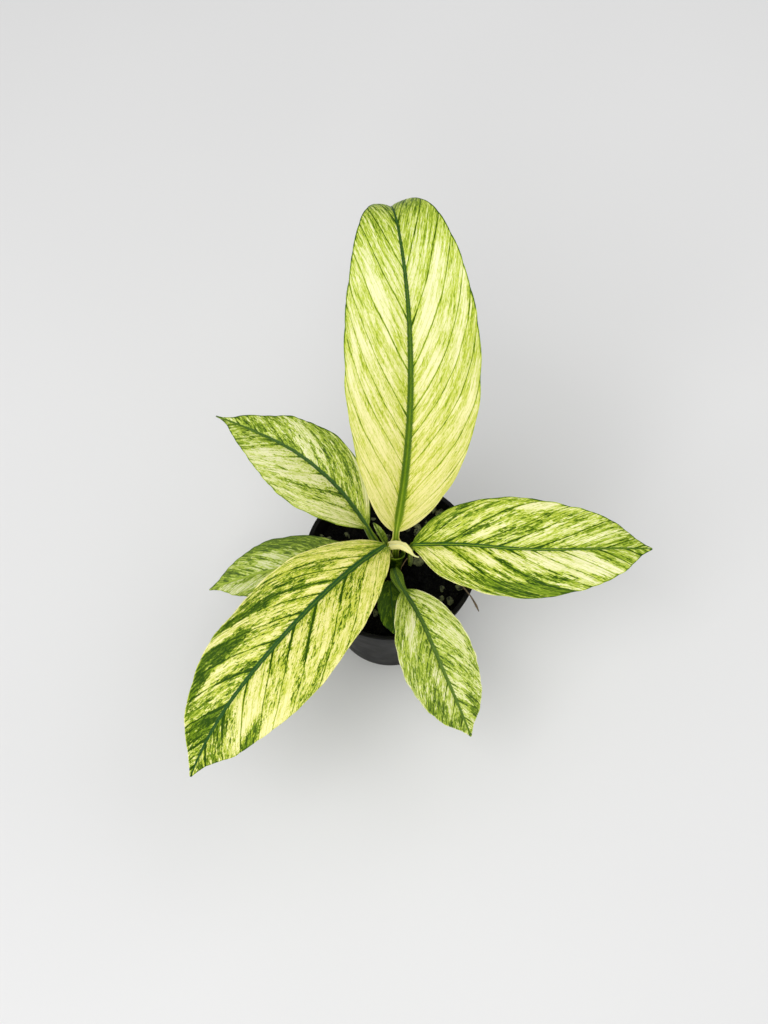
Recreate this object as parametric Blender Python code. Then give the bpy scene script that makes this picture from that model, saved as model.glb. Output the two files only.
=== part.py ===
"""Potted variegated peace lily in a small nursery pot.

Blender 4.5 script. The model is in metres with +Z up, and the origin is the
centre of the pot's underside. Sizes below are in millimetres and degrees.
Headings turn from +X towards +Y, and pitches rise from level.
"""
from dataclasses import dataclass

import bpy
import numpy as np

MM = 0.001
GAP = 0.3

# Nursery pot
POT_HEIGHT = 80.0
POT_SIDES = 60
RIM_RADIUS = 45.0
RIM_THICK = 2.4
RIM_ROUND = 0.5
RIM_LIP = 1.0
RIM_BAND_HEIGHT = 9.0
RIM_BAND_STEP = 1.4
BASE_RADIUS = 31.5
BASE_ROUND = 1.2
WALL = 1.2
FLOOR = 1.8
MIDDLE_RING = 6.0
DRAIN_HOLES = 8
DRAIN_RADIUS = 3.5
DRAIN_RING = 22.0
DRAIN_SIDES = 16
DRILL_OVERRUN = 2.0

# Potting mix
MIX_LEVEL = 70.0
MIX_RINGS = 12
MIX_ROUGHNESS = 0.35
MIX_EDGE_DROP = 1.0
MIX_SEED = 7
# Pumice lumps that show from above: x, y, radius
SEEN_LUMPS = (
    (-36.5, 16.0, 2.2), (-33.0, 14.0, 2.2), (-23.0, 17.0, 2.0), (-21.0, 13.5, 1.8),
    (14.0, 2.0, 3.2), (26.5, -13.5, 2.0), (30.5, -20.5, 2.4), (26.0, 29.5, 3.6),
    (14.5, 22.0, 2.4), (9.0, 20.5, 2.0), (35.0, 3.0, 2.4), (-8.0, -27.0, 2.6),
)
MORE_LUMPS = 34
LUMP_RADIUS = (1.2, 2.4)
LUMP_REACH = 41.0
LUMP_HEIGHT = 0.75

# Crown and roots
CROWN_X = 2.5
CROWN_Y = 0.5
CROWN_TOP = 62.7
CROWN_TOP_RING = 4.0
# Level and radius, from the crown's shoulder to the root tips
CROWN_TAPER = (
    (62.7, 10.6), (60.5, 11.5), (55.0, 10.8), (46.0, 9.4), (36.0, 8.2), (26.0, 6.6), (17.0, 4.8), (12.0, 3.0),
)
CROWN_SIDES = 45
CROWN_RADIUS = 11.5
ROOTS = 9
ROOT_RELIEF = 0.9
ROOT_TWIST = 2.4
HOLE_ROOM = 0.6
HOLE_FLARE = 4.0
LUMP_TO_HOLE = 3.5

# Leaves: the foot of every stalk stands just above the crown's flat top
FOOT_LEVEL = CROWN_TOP + GAP
BLADE = 0.75
BELLY = 0.25
TIP_HALF = 0.35
RIB_DEPTH = 1.5
RIB_HALF = 1.3
RIB_SHARE = (0.06, 0.3)
RIB_TAPER = 0.7
FULL_RIB_WIDTH = 15.0
LINE_POINTS = 201
STALK_STATIONS = 7
BLADE_STATIONS = 16
ACROSS = (0.45, 0.75, 1.0)
STALK_FADE = 0.07
STALK_THINNING = 8
STALK_CROWNING = 0.35
WING_SPREAD = 0.18
RIPPLE_LEAD = 2.2


@dataclass
class Leaf:
    """One leaf, with its stalk.

    foot and start are the two ends of the stalk. A tuple of angles runs evenly
    from the blade's start to its tip: heading and pitch steer the middle line,
    roll tips the blade to one side, and fold lifts each half. left and right
    are the widest half widths, at the share fullest of the length. lift is the
    pitch at which the stalk meets the blade, and rise and reach say how far it
    runs straight at each end. wing widens the stalk at the share wing_at.
    """
    name: str
    colour: tuple
    foot: tuple
    start: tuple
    length: float
    heading: tuple
    pitch: tuple
    left: float
    right: float
    roll: tuple = (0, 0)
    fold: tuple = (20, 10, 10)
    fullest: float = 0.45
    fullness: float = 0.8
    lift: float = 70
    rise: float = 0.45
    reach: float = 0.25
    stalk: float = 1.5
    depth: float = 1.7
    wing: float = 0.5
    wing_at: float = 0.6
    ripple: float = 0.5
    ripples: float = 3.0
    stations: int = BLADE_STATIONS


CREAM = (0.86, 0.87, 0.50)
LIME = (0.55, 0.66, 0.22)
STREAKED = (0.42, 0.55, 0.20)
SHEATH = (0.10, 0.20, 0.05)
DEEP_GREEN = (0.07, 0.17, 0.04)

LEAVES = (
    Leaf("leaf_upright", CREAM, foot=(2.5, 1.7), start=(2.5, 2.5, 109.5), length=191,
         heading=(69, 82, 92, 98, 100), pitch=(73, 60, 54, 44, 10, -65), left=31, right=33,
         roll=(-5, -1, 9), fold=(23, 13, 18), fullest=0.50, fullness=0.82, lift=82,
         wing=2.2, wing_at=0.72, stations=20),
    Leaf("leaf_upper_left", STREAKED, foot=(-4.2, 4.4), start=(-12.5, 7.2, 103.5), length=100,
         heading=(132, 143, 152, 154), pitch=(49, 28, -1, -9), left=25, right=19,
         roll=(-7, -2, -1), fold=(17, 6, 11), fullest=0.42, fullness=0.99, lift=68,
         ripple=0.7, ripples=4.5),
    Leaf("leaf_right", STREAKED, foot=(9.8, 1.8), start=(11.5, -1.0, 99.0), length=125,
         heading=(-12, -11, 4, 9), pitch=(33, 11, -4, -24), left=25.5, right=26,
         roll=(-11, -5, -2), fold=(18, 6, 8), fullest=0.45, fullness=0.75, wing=0.3, stations=18),
    Leaf("leaf_left", STREAKED, foot=(-5.6, 0.4), start=(-8.5, -2.5, 92.5), length=90,
         heading=(200, 185, 186, 192), pitch=(8, -3, -20, -28), left=16, right=16,
         roll=(-2, 1, -2), fold=(15, 9, 8), fullest=0.50, fullness=1.1, lift=62, stations=14),
    Leaf("leaf_lower_left", LIME, foot=(-3.6, -5.0), start=(-3.0, -4.5, 105.5), length=160,
         heading=(227, 229, 230, 240), pitch=(36, 5, -18, -46), left=31, right=28,
         roll=(-1, -10, 3), fold=(19, 0, 7), fullest=0.49, fullness=0.90, lift=82,
         ripple=0.9, stations=20),
    Leaf("leaf_lower_right", LIME, foot=(1.9, -6.3), start=(6.5, -22.5, 89.5), length=83,
         heading=(-59, -68, -63, -63), pitch=(13, -9, -27, -42), left=18, right=20,
         roll=(3, 0, -4), fold=(22, 12, 8), fullest=0.47, fullness=0.81, lift=6, rise=1.05,
         reach=0.4, wing=1.6, wing_at=0.72, stations=14),
    Leaf("leaf_small_green", DEEP_GREEN, foot=(-0.8, -9.6), start=(-0.5, -13.5, 80.0), length=30,
         heading=(-86, -86), pitch=(28, 4, -20), left=8, right=7.5, fold=(20, 12, 10),
         fullest=0.5, fullness=0.62, lift=60, rise=0.6, stalk=1.0, depth=0.9, wing=0.2,
         ripple=0, stations=9),
    Leaf("bract_cream", CREAM, foot=(2.2, -0.9), start=(1.2, -2.4, 98.5), length=12.5,
         heading=(-50, -22, -14, -14), pitch=(45, 5, -30, -48), left=2.2, right=2.2,
         roll=(-35, -35, -20), fold=(15, 20, 15), fullest=0.42, fullness=0.5, lift=85,
         stalk=0.9, depth=0.4, wing=0.1, ripple=0, stations=9),
    Leaf("bract_green", STREAKED, foot=(-1.2, 7.4), start=(-3.2, 7.6, 84.0), length=14,
         heading=(138, 138), pitch=(64, 50), left=2.0, right=2.0, fold=(30, 30, 15),
         fullest=0.4, fullness=0.5, stalk=1.3, depth=0.5, wing=0.2, ripple=0, stations=7),
)

# Green sheath that wraps the young stalk
SHEATH_FOOT_RADIUS = 4.4
SHEATH_RIM_RADIUS = 4.9
SHEATH_RIM_LEVEL = 88.5
SHEATH_BACK_DROP = 9.0
SHEATH_THICK = 0.7
SHEATH_FROM = 130.0
SHEATH_SWEEP = 280.0
SHEATH_STATIONS = 20

# Dry twig: its middle line from inside the mix and over the rim, and its radius there
TWIG_LINE = (
    (30.6, -6.6, 65.5), (33.4, -10.4, 72.4), (36.5, -15.5, 80.2),
    (40.5, -23.0, 84.4), (43.1, -29.0, 86.2), (44.2, -32.0, 86.4),
)
TWIG_RADII = (0.7, 0.7, 0.6, 0.6, 0.9, 0.35)
TWIG_SIDES = 6
TWIG_HOLE_OVERRUN = 0.15


def clear_scene():
    """Remove every object that is already there."""
    for obj in list(bpy.data.objects):
        bpy.data.objects.remove(obj, do_unlink=True)


def material(name, colour, roughness, metallic=0.0):
    """One Principled material."""
    made = bpy.data.materials.new(name)
    made.use_nodes = True
    shader = made.node_tree.nodes["Principled BSDF"]
    shader.inputs["Base Color"].default_value = (*colour, 1.0)
    shader.inputs["Roughness"].default_value = roughness
    shader.inputs["Metallic"].default_value = metallic
    made.diffuse_color = (*colour, 1.0)
    return made


def shade(mesh, crease):
    """Shade smooth wherever faces meet at less than the crease angle."""
    mesh.shade_smooth()
    mesh.set_sharp_from_angle(angle=np.radians(crease))


def add_object(name, points, faces, look, crease=40.0):
    """An object from points in millimetres and triangles, with its faces turned outwards."""
    corners = points[faces]
    volume = np.einsum("ij,ij->", corners[:, 0], np.cross(corners[:, 1], corners[:, 2]))
    if volume < 0:
        faces = faces[:, ::-1]
    mesh = bpy.data.meshes.new(name)
    mesh.from_pydata((points * MM).tolist(), [], faces.tolist())
    mesh.materials.append(look)
    shade(mesh, crease)
    obj = bpy.data.objects.new(name, mesh)
    bpy.context.scene.collection.objects.link(obj)
    return obj


def cut_away(obj, cutter, crease=40.0):
    """Cut a helper's shape out of an object for good, then remove the helper."""
    cutter.hide_render = True
    cutter.display_type = "WIRE"
    cut = obj.modifiers.new("cut", "BOOLEAN")
    cut.operation = "DIFFERENCE"
    cut.solver = "EXACT"
    cut.object = cutter
    depsgraph = bpy.context.evaluated_depsgraph_get()
    result = bpy.data.meshes.new_from_object(obj.evaluated_get(depsgraph))
    obj.modifiers.remove(cut)
    whole = obj.data
    obj.data = result
    result.name = obj.name
    shade(result, crease)
    bpy.data.meshes.remove(whole)
    bpy.data.objects.remove(cutter, do_unlink=True)


def skin(rings, turn_after=None):
    """Join closed rings of equal count into one closed skin of triangles.

    Each end closes on the middle of its ring. Past turn_after points a ring
    runs back the other way, so its squares are split along the other corner,
    which splits both faces of a thin blade alike.
    """
    rings = np.asarray(rings)
    rows, count = rings.shape[:2]
    points = np.vstack([rings.reshape(-1, 3), rings[0].mean(axis=0), rings[-1].mean(axis=0)])
    a = np.arange(count)
    b = np.roll(a, -1)
    forward = a < (count if turn_after is None else turn_after)
    faces = []
    for row in range(rows - 1):
        here, there = row * count, (row + 1) * count
        faces.append(np.column_stack([here + a, here + b, there + np.where(forward, b, a)]))
        faces.append(np.column_stack([here + np.where(forward, a, b), there + b, there + a]))
    first, last = len(points) - 2, len(points) - 1
    end = (rows - 1) * count
    faces.append(np.column_stack([np.full(count, first), b, a]))
    faces.append(np.column_stack([np.full(count, last), end + a, end + b]))
    return points, np.vstack(faces)


def circle(radius, height, sides, x=0.0, y=0.0):
    """A level ring of points, anticlockwise from above."""
    turn = np.linspace(0, 2 * np.pi, sides, endpoint=False)
    return np.column_stack([x + radius * np.cos(turn), y + radius * np.sin(turn), np.full(sides, height)])


def tube(line, radii, sides):
    """Rings square to a line of points, which never runs straight up."""
    line = np.asarray(line)
    way = np.gradient(line, axis=0)
    way /= np.linalg.norm(way, axis=1)[:, None]
    side = np.cross(way, (0, 0, 1.0))
    side /= np.linalg.norm(side, axis=1)[:, None]
    above = np.cross(side, way)
    turn = np.linspace(0, 2 * np.pi, sides, endpoint=False)[None, :, None]
    spokes = np.cos(turn) * side[:, None] + np.sin(turn) * above[:, None]
    return line[:, None] + np.asarray(radii)[:, None, None] * spokes


def wall_radius(height):
    """Outer radius of the tapered pot wall."""
    top = RIM_RADIUS - RIM_BAND_STEP
    return BASE_RADIUS + (top - BASE_RADIUS) * height / POT_HEIGHT


def inner_radius(height):
    """Radius of the pot's inner wall."""
    return wall_radius(height) - WALL


def build_pot():
    """Tapered nursery pot, turned from its profile, with drain holes through the floor."""
    band = POT_HEIGHT - RIM_BAND_HEIGHT
    under_band = band - RIM_BAND_STEP
    profile = (
        (MIDDLE_RING, 0.0), (BASE_RADIUS - BASE_ROUND, 0.0), (BASE_RADIUS, BASE_ROUND),
        (wall_radius(under_band), under_band), (wall_radius(band) + RIM_BAND_STEP, band),
        (RIM_RADIUS, POT_HEIGHT - RIM_LIP), (RIM_RADIUS - RIM_ROUND, POT_HEIGHT),
        (RIM_RADIUS - RIM_THICK + RIM_ROUND, POT_HEIGHT), (RIM_RADIUS - RIM_THICK, POT_HEIGHT - RIM_LIP),
        (inner_radius(band), band), (inner_radius(FLOOR), FLOOR), (MIDDLE_RING, FLOOR),
    )
    rings = [circle(radius, height, POT_SIDES) for radius, height in profile]
    look = material("black_plastic", (0.012, 0.012, 0.013), 0.42)
    pot = add_object("pot", *skin(rings), look)

    points, faces = [], []
    for turn in np.arange(DRAIN_HOLES) * 2 * np.pi / DRAIN_HOLES:
        x, y = DRAIN_RING * np.cos(turn), DRAIN_RING * np.sin(turn)
        levels = (-DRILL_OVERRUN, FLOOR + DRILL_OVERRUN)
        drill, drill_faces = skin([circle(DRAIN_RADIUS, level, DRAIN_SIDES, x, y) for level in levels])
        faces.append(drill_faces + len(drill) * len(points))
        points.append(drill)
    cut_away(pot, add_object("drain_drills", np.vstack(points), np.vstack(faces), look))


def lumps():
    """Every pumice lump as x, y and radius: the seen ones, then seeded ones clear of the crown."""
    draw = np.random.default_rng(MIX_SEED)
    rows = list(SEEN_LUMPS)
    while len(rows) < len(SEEN_LUMPS) + MORE_LUMPS:
        reach, turn = LUMP_REACH * np.sqrt(draw.random()), 2 * np.pi * draw.random()
        x, y, radius = reach * np.cos(turn), reach * np.sin(turn), draw.uniform(*LUMP_RADIUS)
        if np.hypot(x - CROWN_X, y - CROWN_Y) > CROWN_RADIUS + LUMP_TO_HOLE:
            rows.append((x, y, radius))
    return rows


def mix_height(x, y):
    """Height of the mix: level, with low waves and round lumps that stand out of it."""
    waves = np.sin(0.9 * x + 1.3) * np.sin(0.75 * y + 0.4) + 0.6 * np.sin(1.7 * x - 1.1 * y)
    height = MIX_LEVEL + MIX_ROUGHNESS * waves
    for lump_x, lump_y, radius in lumps():
        near = np.clip(1 - ((x - lump_x) ** 2 + (y - lump_y) ** 2) / radius ** 2, 0, 1)
        height = height + LUMP_HEIGHT * radius * np.sqrt(near)
    return height


def build_mix():
    """Potting mix: a plug that fills the pot, rough on top, with plain holes for crown and twig."""
    root_level, root_radius = CROWN_TAPER[-1]
    hole = [(1.0, root_level - GAP), (root_radius + HOLE_ROOM, root_level - GAP)]
    hole += [(radius + HOLE_ROOM, level) for level, radius in CROWN_TAPER[-2:0:-1]]
    rings = [circle(radius, level, POT_SIDES, CROWN_X, CROWN_Y) for radius, level in hole]
    edge_level = MIX_LEVEL - MIX_EDGE_DROP
    inner = circle(CROWN_RADIUS + HOLE_FLARE, MIX_LEVEL, POT_SIDES, CROWN_X, CROWN_Y)
    outer = circle(inner_radius(edge_level) - GAP, MIX_LEVEL, POT_SIDES)
    for share in np.linspace(0, 1, MIX_RINGS):
        ring = inner * (1 - share) + outer * share
        ring[:, 2] = mix_height(ring[:, 0], ring[:, 1])
        rings.append(ring)
    rings[-1][:, 2] = edge_level
    rings.append(circle(inner_radius(FLOOR + GAP) - GAP, FLOOR + GAP, POT_SIDES))
    rings.append(circle(MIDDLE_RING, FLOOR + GAP, POT_SIDES))
    look = material("peat_and_pumice", (0.018, 0.015, 0.012), 0.95)
    mix = add_object("potting_mix", *skin(rings), look, crease=60.0)

    low, high = np.array(TWIG_LINE[:2])
    overrun = TWIG_HOLE_OVERRUN * (high - low)
    socket = skin(tube((low - overrun, high + overrun), [TWIG_RADII[0] + GAP] * 2, TWIG_SIDES))
    cut_away(mix, add_object("twig_drill", *socket, look), crease=60.0)


def build_crown():
    """Short crown with a rope of thick roots below it, raised as twisted ridges."""
    turn = np.linspace(0, 2 * np.pi, CROWN_SIDES, endpoint=False)
    rings = [circle(CROWN_TOP_RING, CROWN_TOP, CROWN_SIDES, CROWN_X, CROWN_Y)]
    for level, radius in CROWN_TAPER:
        down = (CROWN_TOP - level) / CROWN_TOP
        relief = ROOT_RELIEF * min(1.0, down * 8)
        ridge = np.abs(np.cos(0.5 * ROOTS * turn + ROOT_TWIST * down))
        reach = radius - relief * (1 - ridge)
        x, y = CROWN_X + reach * np.cos(turn), CROWN_Y + reach * np.sin(turn)
        rings.append(np.column_stack([x, y, np.full(CROWN_SIDES, level)]))
    look = material("root_skin", (0.45, 0.33, 0.20), 0.8)
    add_object("crown_and_roots", *skin(rings), look, crease=50.0)


def along(values, share):
    """Value at a share of the way along an evenly spaced list."""
    return np.interp(share, np.linspace(0, 1, len(values)), values)


def direction(heading, pitch):
    """Unit vectors for headings and pitches in degrees."""
    heading, pitch = np.radians(heading), np.radians(pitch)
    level = np.cos(pitch)
    return np.stack([level * np.cos(heading), level * np.sin(heading), np.sin(pitch)], axis=-1)


def blade_line(leaf, share):
    """Middle line of the blade: its heading and pitch summed along its length."""
    fine = np.linspace(0, 1, LINE_POINTS)
    way = direction(along(leaf.heading, fine), along(leaf.pitch, fine))
    steps = 0.5 * (way[1:] + way[:-1]) * leaf.length / (LINE_POINTS - 1)
    line = np.vstack([np.zeros(3), np.cumsum(steps, axis=0)]) + leaf.start
    near = share * (LINE_POINTS - 1)
    below = np.minimum(near.astype(int), LINE_POINTS - 2)
    part = (near - below)[:, None]
    return [table[below] * (1 - part) + table[below + 1] * part for table in (line, way)]


def stalk_line(leaf, share):
    """Middle line of the stalk: a cubic curve, straight up at the foot and into the blade."""
    foot, start = np.array([*leaf.foot, FOOT_LEVEL]), np.array(leaf.start)
    span = np.linalg.norm(start - foot)
    into = direction(leaf.heading[0], leaf.lift)
    knots = (foot, foot + (0, 0, leaf.rise * span), start - leaf.reach * span * into, start)
    s = share[:, None]
    weights = ((1 - s) ** 3, 3 * s * (1 - s) ** 2, 3 * s ** 2 * (1 - s), s ** 3)
    slopes = (-3 * (1 - s) ** 2, 3 * (1 - s) * (1 - 3 * s), 3 * s * (2 - 3 * s), 3 * s ** 2)
    line = sum(weight * knot for weight, knot in zip(weights, knots))
    way = sum(slope * knot for slope, knot in zip(slopes, knots))
    return line, way / np.linalg.norm(way, axis=1)[:, None]


def outline(leaf, share):
    """Half width as a share of the widest: a rise to the fullest point, then a taper."""
    fall = leaf.fullness * (1 - leaf.fullest) / leaf.fullest
    share = np.clip(share, 1e-6, 1 - 1e-6)
    return (share / leaf.fullest) ** leaf.fullness * ((1 - share) / (1 - leaf.fullest)) ** fall


def leaf_frame(leaf, stalk_share, blade_share):
    """Middle line of the whole leaf, with the directions to its right and above it."""
    stalk_points, stalk_way = stalk_line(leaf, stalk_share)
    blade_points, blade_way = blade_line(leaf, blade_share)
    line, way = np.vstack([stalk_points, blade_points]), np.vstack([stalk_way, blade_way])
    level = direction(np.mean(leaf.heading) - 90, 0)
    side = level - (way @ level)[:, None] * way
    side /= np.linalg.norm(side, axis=1)[:, None]
    above = np.cross(side, way)
    on_blade = np.concatenate([np.zeros(len(stalk_share)), blade_share])
    roll = np.radians(along(leaf.roll, on_blade))[:, None]
    side = side * np.cos(roll) + above * np.sin(roll)
    return line, side, np.cross(side, way)


def build_leaf(leaf):
    """A leaf as one loft of flat rings, from its foot on the crown to its tip.

    Each ring runs along the upper face from left to right and back along the
    lower face. The stalk is round, and the blade is thin with a rib below.
    """
    stalk_share = np.linspace(0, 1, STALK_STATIONS, endpoint=False)
    blade_share = 0.5 - 0.5 * np.cos(np.pi * np.linspace(0, 1, leaf.stations + 1))
    line, side, above = leaf_frame(leaf, stalk_share, blade_share)
    on_blade = np.concatenate([np.zeros(STALK_STATIONS), blade_share])
    on_stalk = np.concatenate([stalk_share, np.ones(leaf.stations + 1)])

    stemness = np.clip(1 - on_blade / STALK_FADE, 0, 1)
    stemness = stemness ** 2 * (3 - 2 * stemness)
    wing = leaf.wing * np.exp(-((on_stalk - leaf.wing_at) / WING_SPREAD) ** 2) * stemness
    stem_half = leaf.stalk * (1 - on_blade) ** STALK_THINNING + wing
    shape = np.where(on_blade > 0, outline(leaf, on_blade), 0.0)
    left, right = (half * shape + stem_half + TIP_HALF for half in (leaf.left, leaf.right))
    ribs = np.clip(RIB_HALF / np.minimum(left, right), *RIB_SHARE)
    rib_depths = RIB_DEPTH * (1 - on_blade) ** RIB_TAPER * min(1.0, leaf.left / FULL_RIB_WIDTH)
    folds = np.radians(along(leaf.fold, on_blade))

    rings = []
    for row, stem in enumerate(stemness):
        half = np.array([ribs[row], *ACROSS])
        across = np.concatenate([-half[::-1], [0.0], half])
        edgeward = np.abs(across)
        width = np.where(across < 0, left[row], right[row])
        out = across * width * np.cos(folds[row])
        belly = BELLY * (1 - stem) * edgeward * (1 - edgeward)
        wave = np.sin(2 * np.pi * leaf.ripples * on_blade[row] + RIPPLE_LEAD * (across > 0))
        wave *= leaf.ripple * edgeward ** 3 * np.sin(np.pi * on_blade[row]) ** 0.5
        round_part = stem * leaf.depth * np.sqrt(1 - edgeward ** 2)
        rib = (1 - stem) * rib_depths[row] * np.clip(1 - edgeward / ribs[row], 0, 1)
        top = width * (edgeward * np.sin(folds[row]) + belly) + wave + STALK_CROWNING * round_part
        upper = line[row] + side[row] * out[:, None] + above[row] * top[:, None]
        lower = upper - above[row] * (BLADE + round_part + rib)[:, None]
        rings.append(np.vstack([upper, lower[::-1]]))
    points, faces = skin(rings, turn_after=2 * len(half))
    add_object(leaf.name, points, faces, material(leaf.name, leaf.colour, 0.38), crease=50.0)


def build_sheath():
    """Green sheath round the young stalk: a thin open cup, highest in front."""
    inner_foot, inner_rim = SHEATH_FOOT_RADIUS - SHEATH_THICK, SHEATH_RIM_RADIUS - SHEATH_THICK
    rings = []
    for share in np.linspace(0, 1, SHEATH_STATIONS):
        turn = np.radians(SHEATH_FROM + SHEATH_SWEEP * share)
        top = SHEATH_RIM_LEVEL - SHEATH_BACK_DROP * (2 * share - 1) ** 2
        middle = 0.5 * (FOOT_LEVEL + top)
        profile = ((SHEATH_FOOT_RADIUS, FOOT_LEVEL), (SHEATH_FOOT_RADIUS, middle), (SHEATH_RIM_RADIUS, top),
                   (inner_rim, top), (inner_foot, middle), (inner_foot, FOOT_LEVEL))
        rings.append([(CROWN_X + r * np.cos(turn), CROWN_Y + r * np.sin(turn), z) for r, z in profile])
    add_object("sheath_green", *skin(rings), material("sheath_green", SHEATH, 0.5))


def build_twig():
    """Dry twig that stands in the mix, with a small knob near its free end."""
    rings = tube(TWIG_LINE, TWIG_RADII, TWIG_SIDES)
    add_object("dry_twig", *skin(rings), material("dry_twig", (0.30, 0.21, 0.12), 0.85))


def main():
    """Build every piece."""
    clear_scene()
    build_pot()
    build_mix()
    build_crown()
    for leaf in LEAVES:
        build_leaf(leaf)
    build_sheath()
    build_twig()


main()
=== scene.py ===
"""Looks of the potted variegated peace lily.

A Blender 4.5 script, laid out as an add-on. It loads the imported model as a
fixed frame, lays finer surfaces over its nodes and sets the stage. Shapes are
worked out in millimetres and degrees, and go into their meshes in metres.
Headings turn from +X towards +Y, and pitches rise from level.
"""
from dataclasses import dataclass

import bpy
import numpy as np
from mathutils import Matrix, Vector


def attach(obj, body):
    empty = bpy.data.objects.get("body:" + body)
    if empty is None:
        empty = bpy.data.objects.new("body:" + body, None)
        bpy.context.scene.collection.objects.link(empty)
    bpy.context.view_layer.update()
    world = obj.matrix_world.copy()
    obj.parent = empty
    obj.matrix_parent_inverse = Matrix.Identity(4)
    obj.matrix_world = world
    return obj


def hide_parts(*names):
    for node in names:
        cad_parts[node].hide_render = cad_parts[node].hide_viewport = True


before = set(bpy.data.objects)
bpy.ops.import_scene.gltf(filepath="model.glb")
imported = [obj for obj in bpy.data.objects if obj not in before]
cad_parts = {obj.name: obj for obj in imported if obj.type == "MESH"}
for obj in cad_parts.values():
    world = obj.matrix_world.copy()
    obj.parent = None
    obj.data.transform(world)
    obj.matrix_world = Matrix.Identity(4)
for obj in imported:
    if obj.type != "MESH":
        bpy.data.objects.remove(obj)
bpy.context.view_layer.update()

bl_info = {
    "name": "Potted variegated peace lily",
    "version": (1, 0, 0),
    "blender": (4, 5, 0),
    "location": "3D View > Sidebar > Peace lily",
    "description": "Fine leaves, potting mix, pot and stage over the packed model of the plant",
    "category": "Add Mesh",
}

MM = 0.001
CREASE = 50.0

# Nursery pot, as in the model
POT_HEIGHT = 80.0
RIM_RADIUS = 45.0
RIM_THICK = 2.4
RIM_BAND_HEIGHT = 9.0
RIM_BAND_STEP = 1.4
BASE_RADIUS = 31.5
WALL = 1.2
FLOOR = 1.8
DRAIN_HOLES = 8
DRAIN_RADIUS = 3.5
DRAIN_RING = 22.0

# Its finer edges
BASE_ROUND = 1.2
BASE_CORNER_FROM = 4.0
BAND_ROUND = 0.5
BAND_CORNER = (0.15, 0.1)
RIM_LIP = 1.6
MIDDLE_RING = 6.0
CORNER_STEPS = 7
DRILL_SIDES = 32
DRILL_PAST = 2.0
POT_CREASE = 35.0

# Potting mix, as in the model
MIX_LEVEL = 70.0
MIX_ROUGHNESS = 0.35
MIX_EDGE_DROP = 1.0
MIX_SEED = 7
MIX_GAP = 0.3
CROWN = (2.5, 0.5)
CROWN_RADIUS = 11.5
LUMP_TO_HOLE = 3.5
SEEN_LUMPS = (
    (-36.5, 16.0, 2.2), (-33.0, 14.0, 2.2), (-23.0, 17.0, 2.0), (-21.0, 13.5, 1.8),
    (14.0, 2.0, 3.2), (26.5, -13.5, 2.0), (30.5, -20.5, 2.4), (26.0, 29.5, 3.6),
    (14.5, 22.0, 2.4), (9.0, 20.5, 2.0), (35.0, 3.0, 2.4), (-8.0, -27.0, 2.6),
)
MORE_LUMPS = 34
LUMP_RADIUS = (1.2, 2.4)
LUMP_REACH = 41.0
LUMP_HEIGHT = 0.75

# Its crumbly surface: EDGE_SPACING is in mesh steps, HOLLOW is the dip round the stalks, and the
# sizes of crumbs and lumps are shares of their radius
EDGE_SPACING = 1.2
ROUGH_WAVES = 40
ROUGH_LENGTHS = (1.2, 7.0)
ROUGH_HEIGHT = 0.35
ROUGH_SEED = 31
HOLLOW_DEPTH = 2.5
HOLLOW_RADIUS = 9.0
EDGE_REACH = 3.0
MIX_CREASE = 80.0
CRUMB_SEED = 19
CRUMB_SPREAD = 2.2
CRUMB_WIDTH = (0.5, 1.0)
CRUMB_DEPTH = (0.35, 0.9)
CRUMB_JITTER = (0.7, 1.15)
CRUMB_RISE = 0.25
CRUMB_CREASE = 20.0
LUMP_SEED = 23
LUMP_RINGS = 14
LUMP_SIDES = 20
LUMP_PLANES = 10
LUMP_CUT = (0.62, 0.9)
LUMP_SLANT = 0.2
LUMP_LIMIT = 1.1
LUMP_WAVES = 12
LUMP_WAVE_RATE = 3.0
LUMP_PHASE = 6.3
LUMP_ROUGHNESS = 0.04
LUMP_WIDTH = (0.7, 1.0)
LUMP_SETTLED = 0.9
LUMP_RISE = 0.35
LUMP_CREASE = 60.0

# Leaves, as in the model
FOOT_LEVEL = 63.0
STALK_FLAT = 0.75
BELLY = 0.25
TIP_HALF = 0.35
RIB_DEPTH = 1.5
RIB_HALF = 1.3
RIB_SHARE = (0.06, 0.3)
RIB_TAPER = 0.7
FULL_RIB_WIDTH = 15.0
LINE_POINTS = 401
STALK_FADE = 0.07
STALK_THINNING = 8
STALK_CROWNING = 0.35
RIPPLE_LEAD = 2.2

# Finer forms of the leaves. STALK_STEPS and TIP_ROWS place their rings, RIB_COLUMNS and
# EDGE_CROWDING their columns. WAIST_REACH and VEIN_SPACING are shares of the length, VEIN_FADE of
# the half width, MARGIN_THINNING of the thickness, and RIB_NARROWING of the rib's width on a stalk.
# Other depths and widths are in millimetres, and WAVER_COUNTS counts waves along a blade
STALK_STEPS = 30
TIP_ROWS = (0.6, 0.3, 0.1, 0.0)
RIB_COLUMNS = (0.0, 0.3, 0.6, 1.0)
EDGE_CROWDING = 1.15
VEIN_FADE = 0.15
MARGIN_THINNING = 0.5
RIB_NARROWING = 0.45
RIB_LEAST = 0.2
WAIST_REACH = 0.07
VEIN_SPACING = 0.11
VEIN_WIDTH = 1.5
GROOVE_DEPTH = 0.45
GROOVE_WIDTH = 1.3
NOTCH_DEPTH = 0.25
NOTCH_WIDTH = 2.8
WAVER_DEPTH = 0.16
WAVER_COUNTS = (9.3, 5.1)
NARROWEST = 3.0

# Steps that set the streaks of two leaves, or of two halves, apart
LEAF_SEED_STEP = 5.3
HALF_SEED_STEP = 1.9

# A patch fades in over PATCH_FADE millimetres across the veins and PATCH_EDGE of the way out
PATCH_FADE = 1.2
PATCH_EDGE = 0.1


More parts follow.
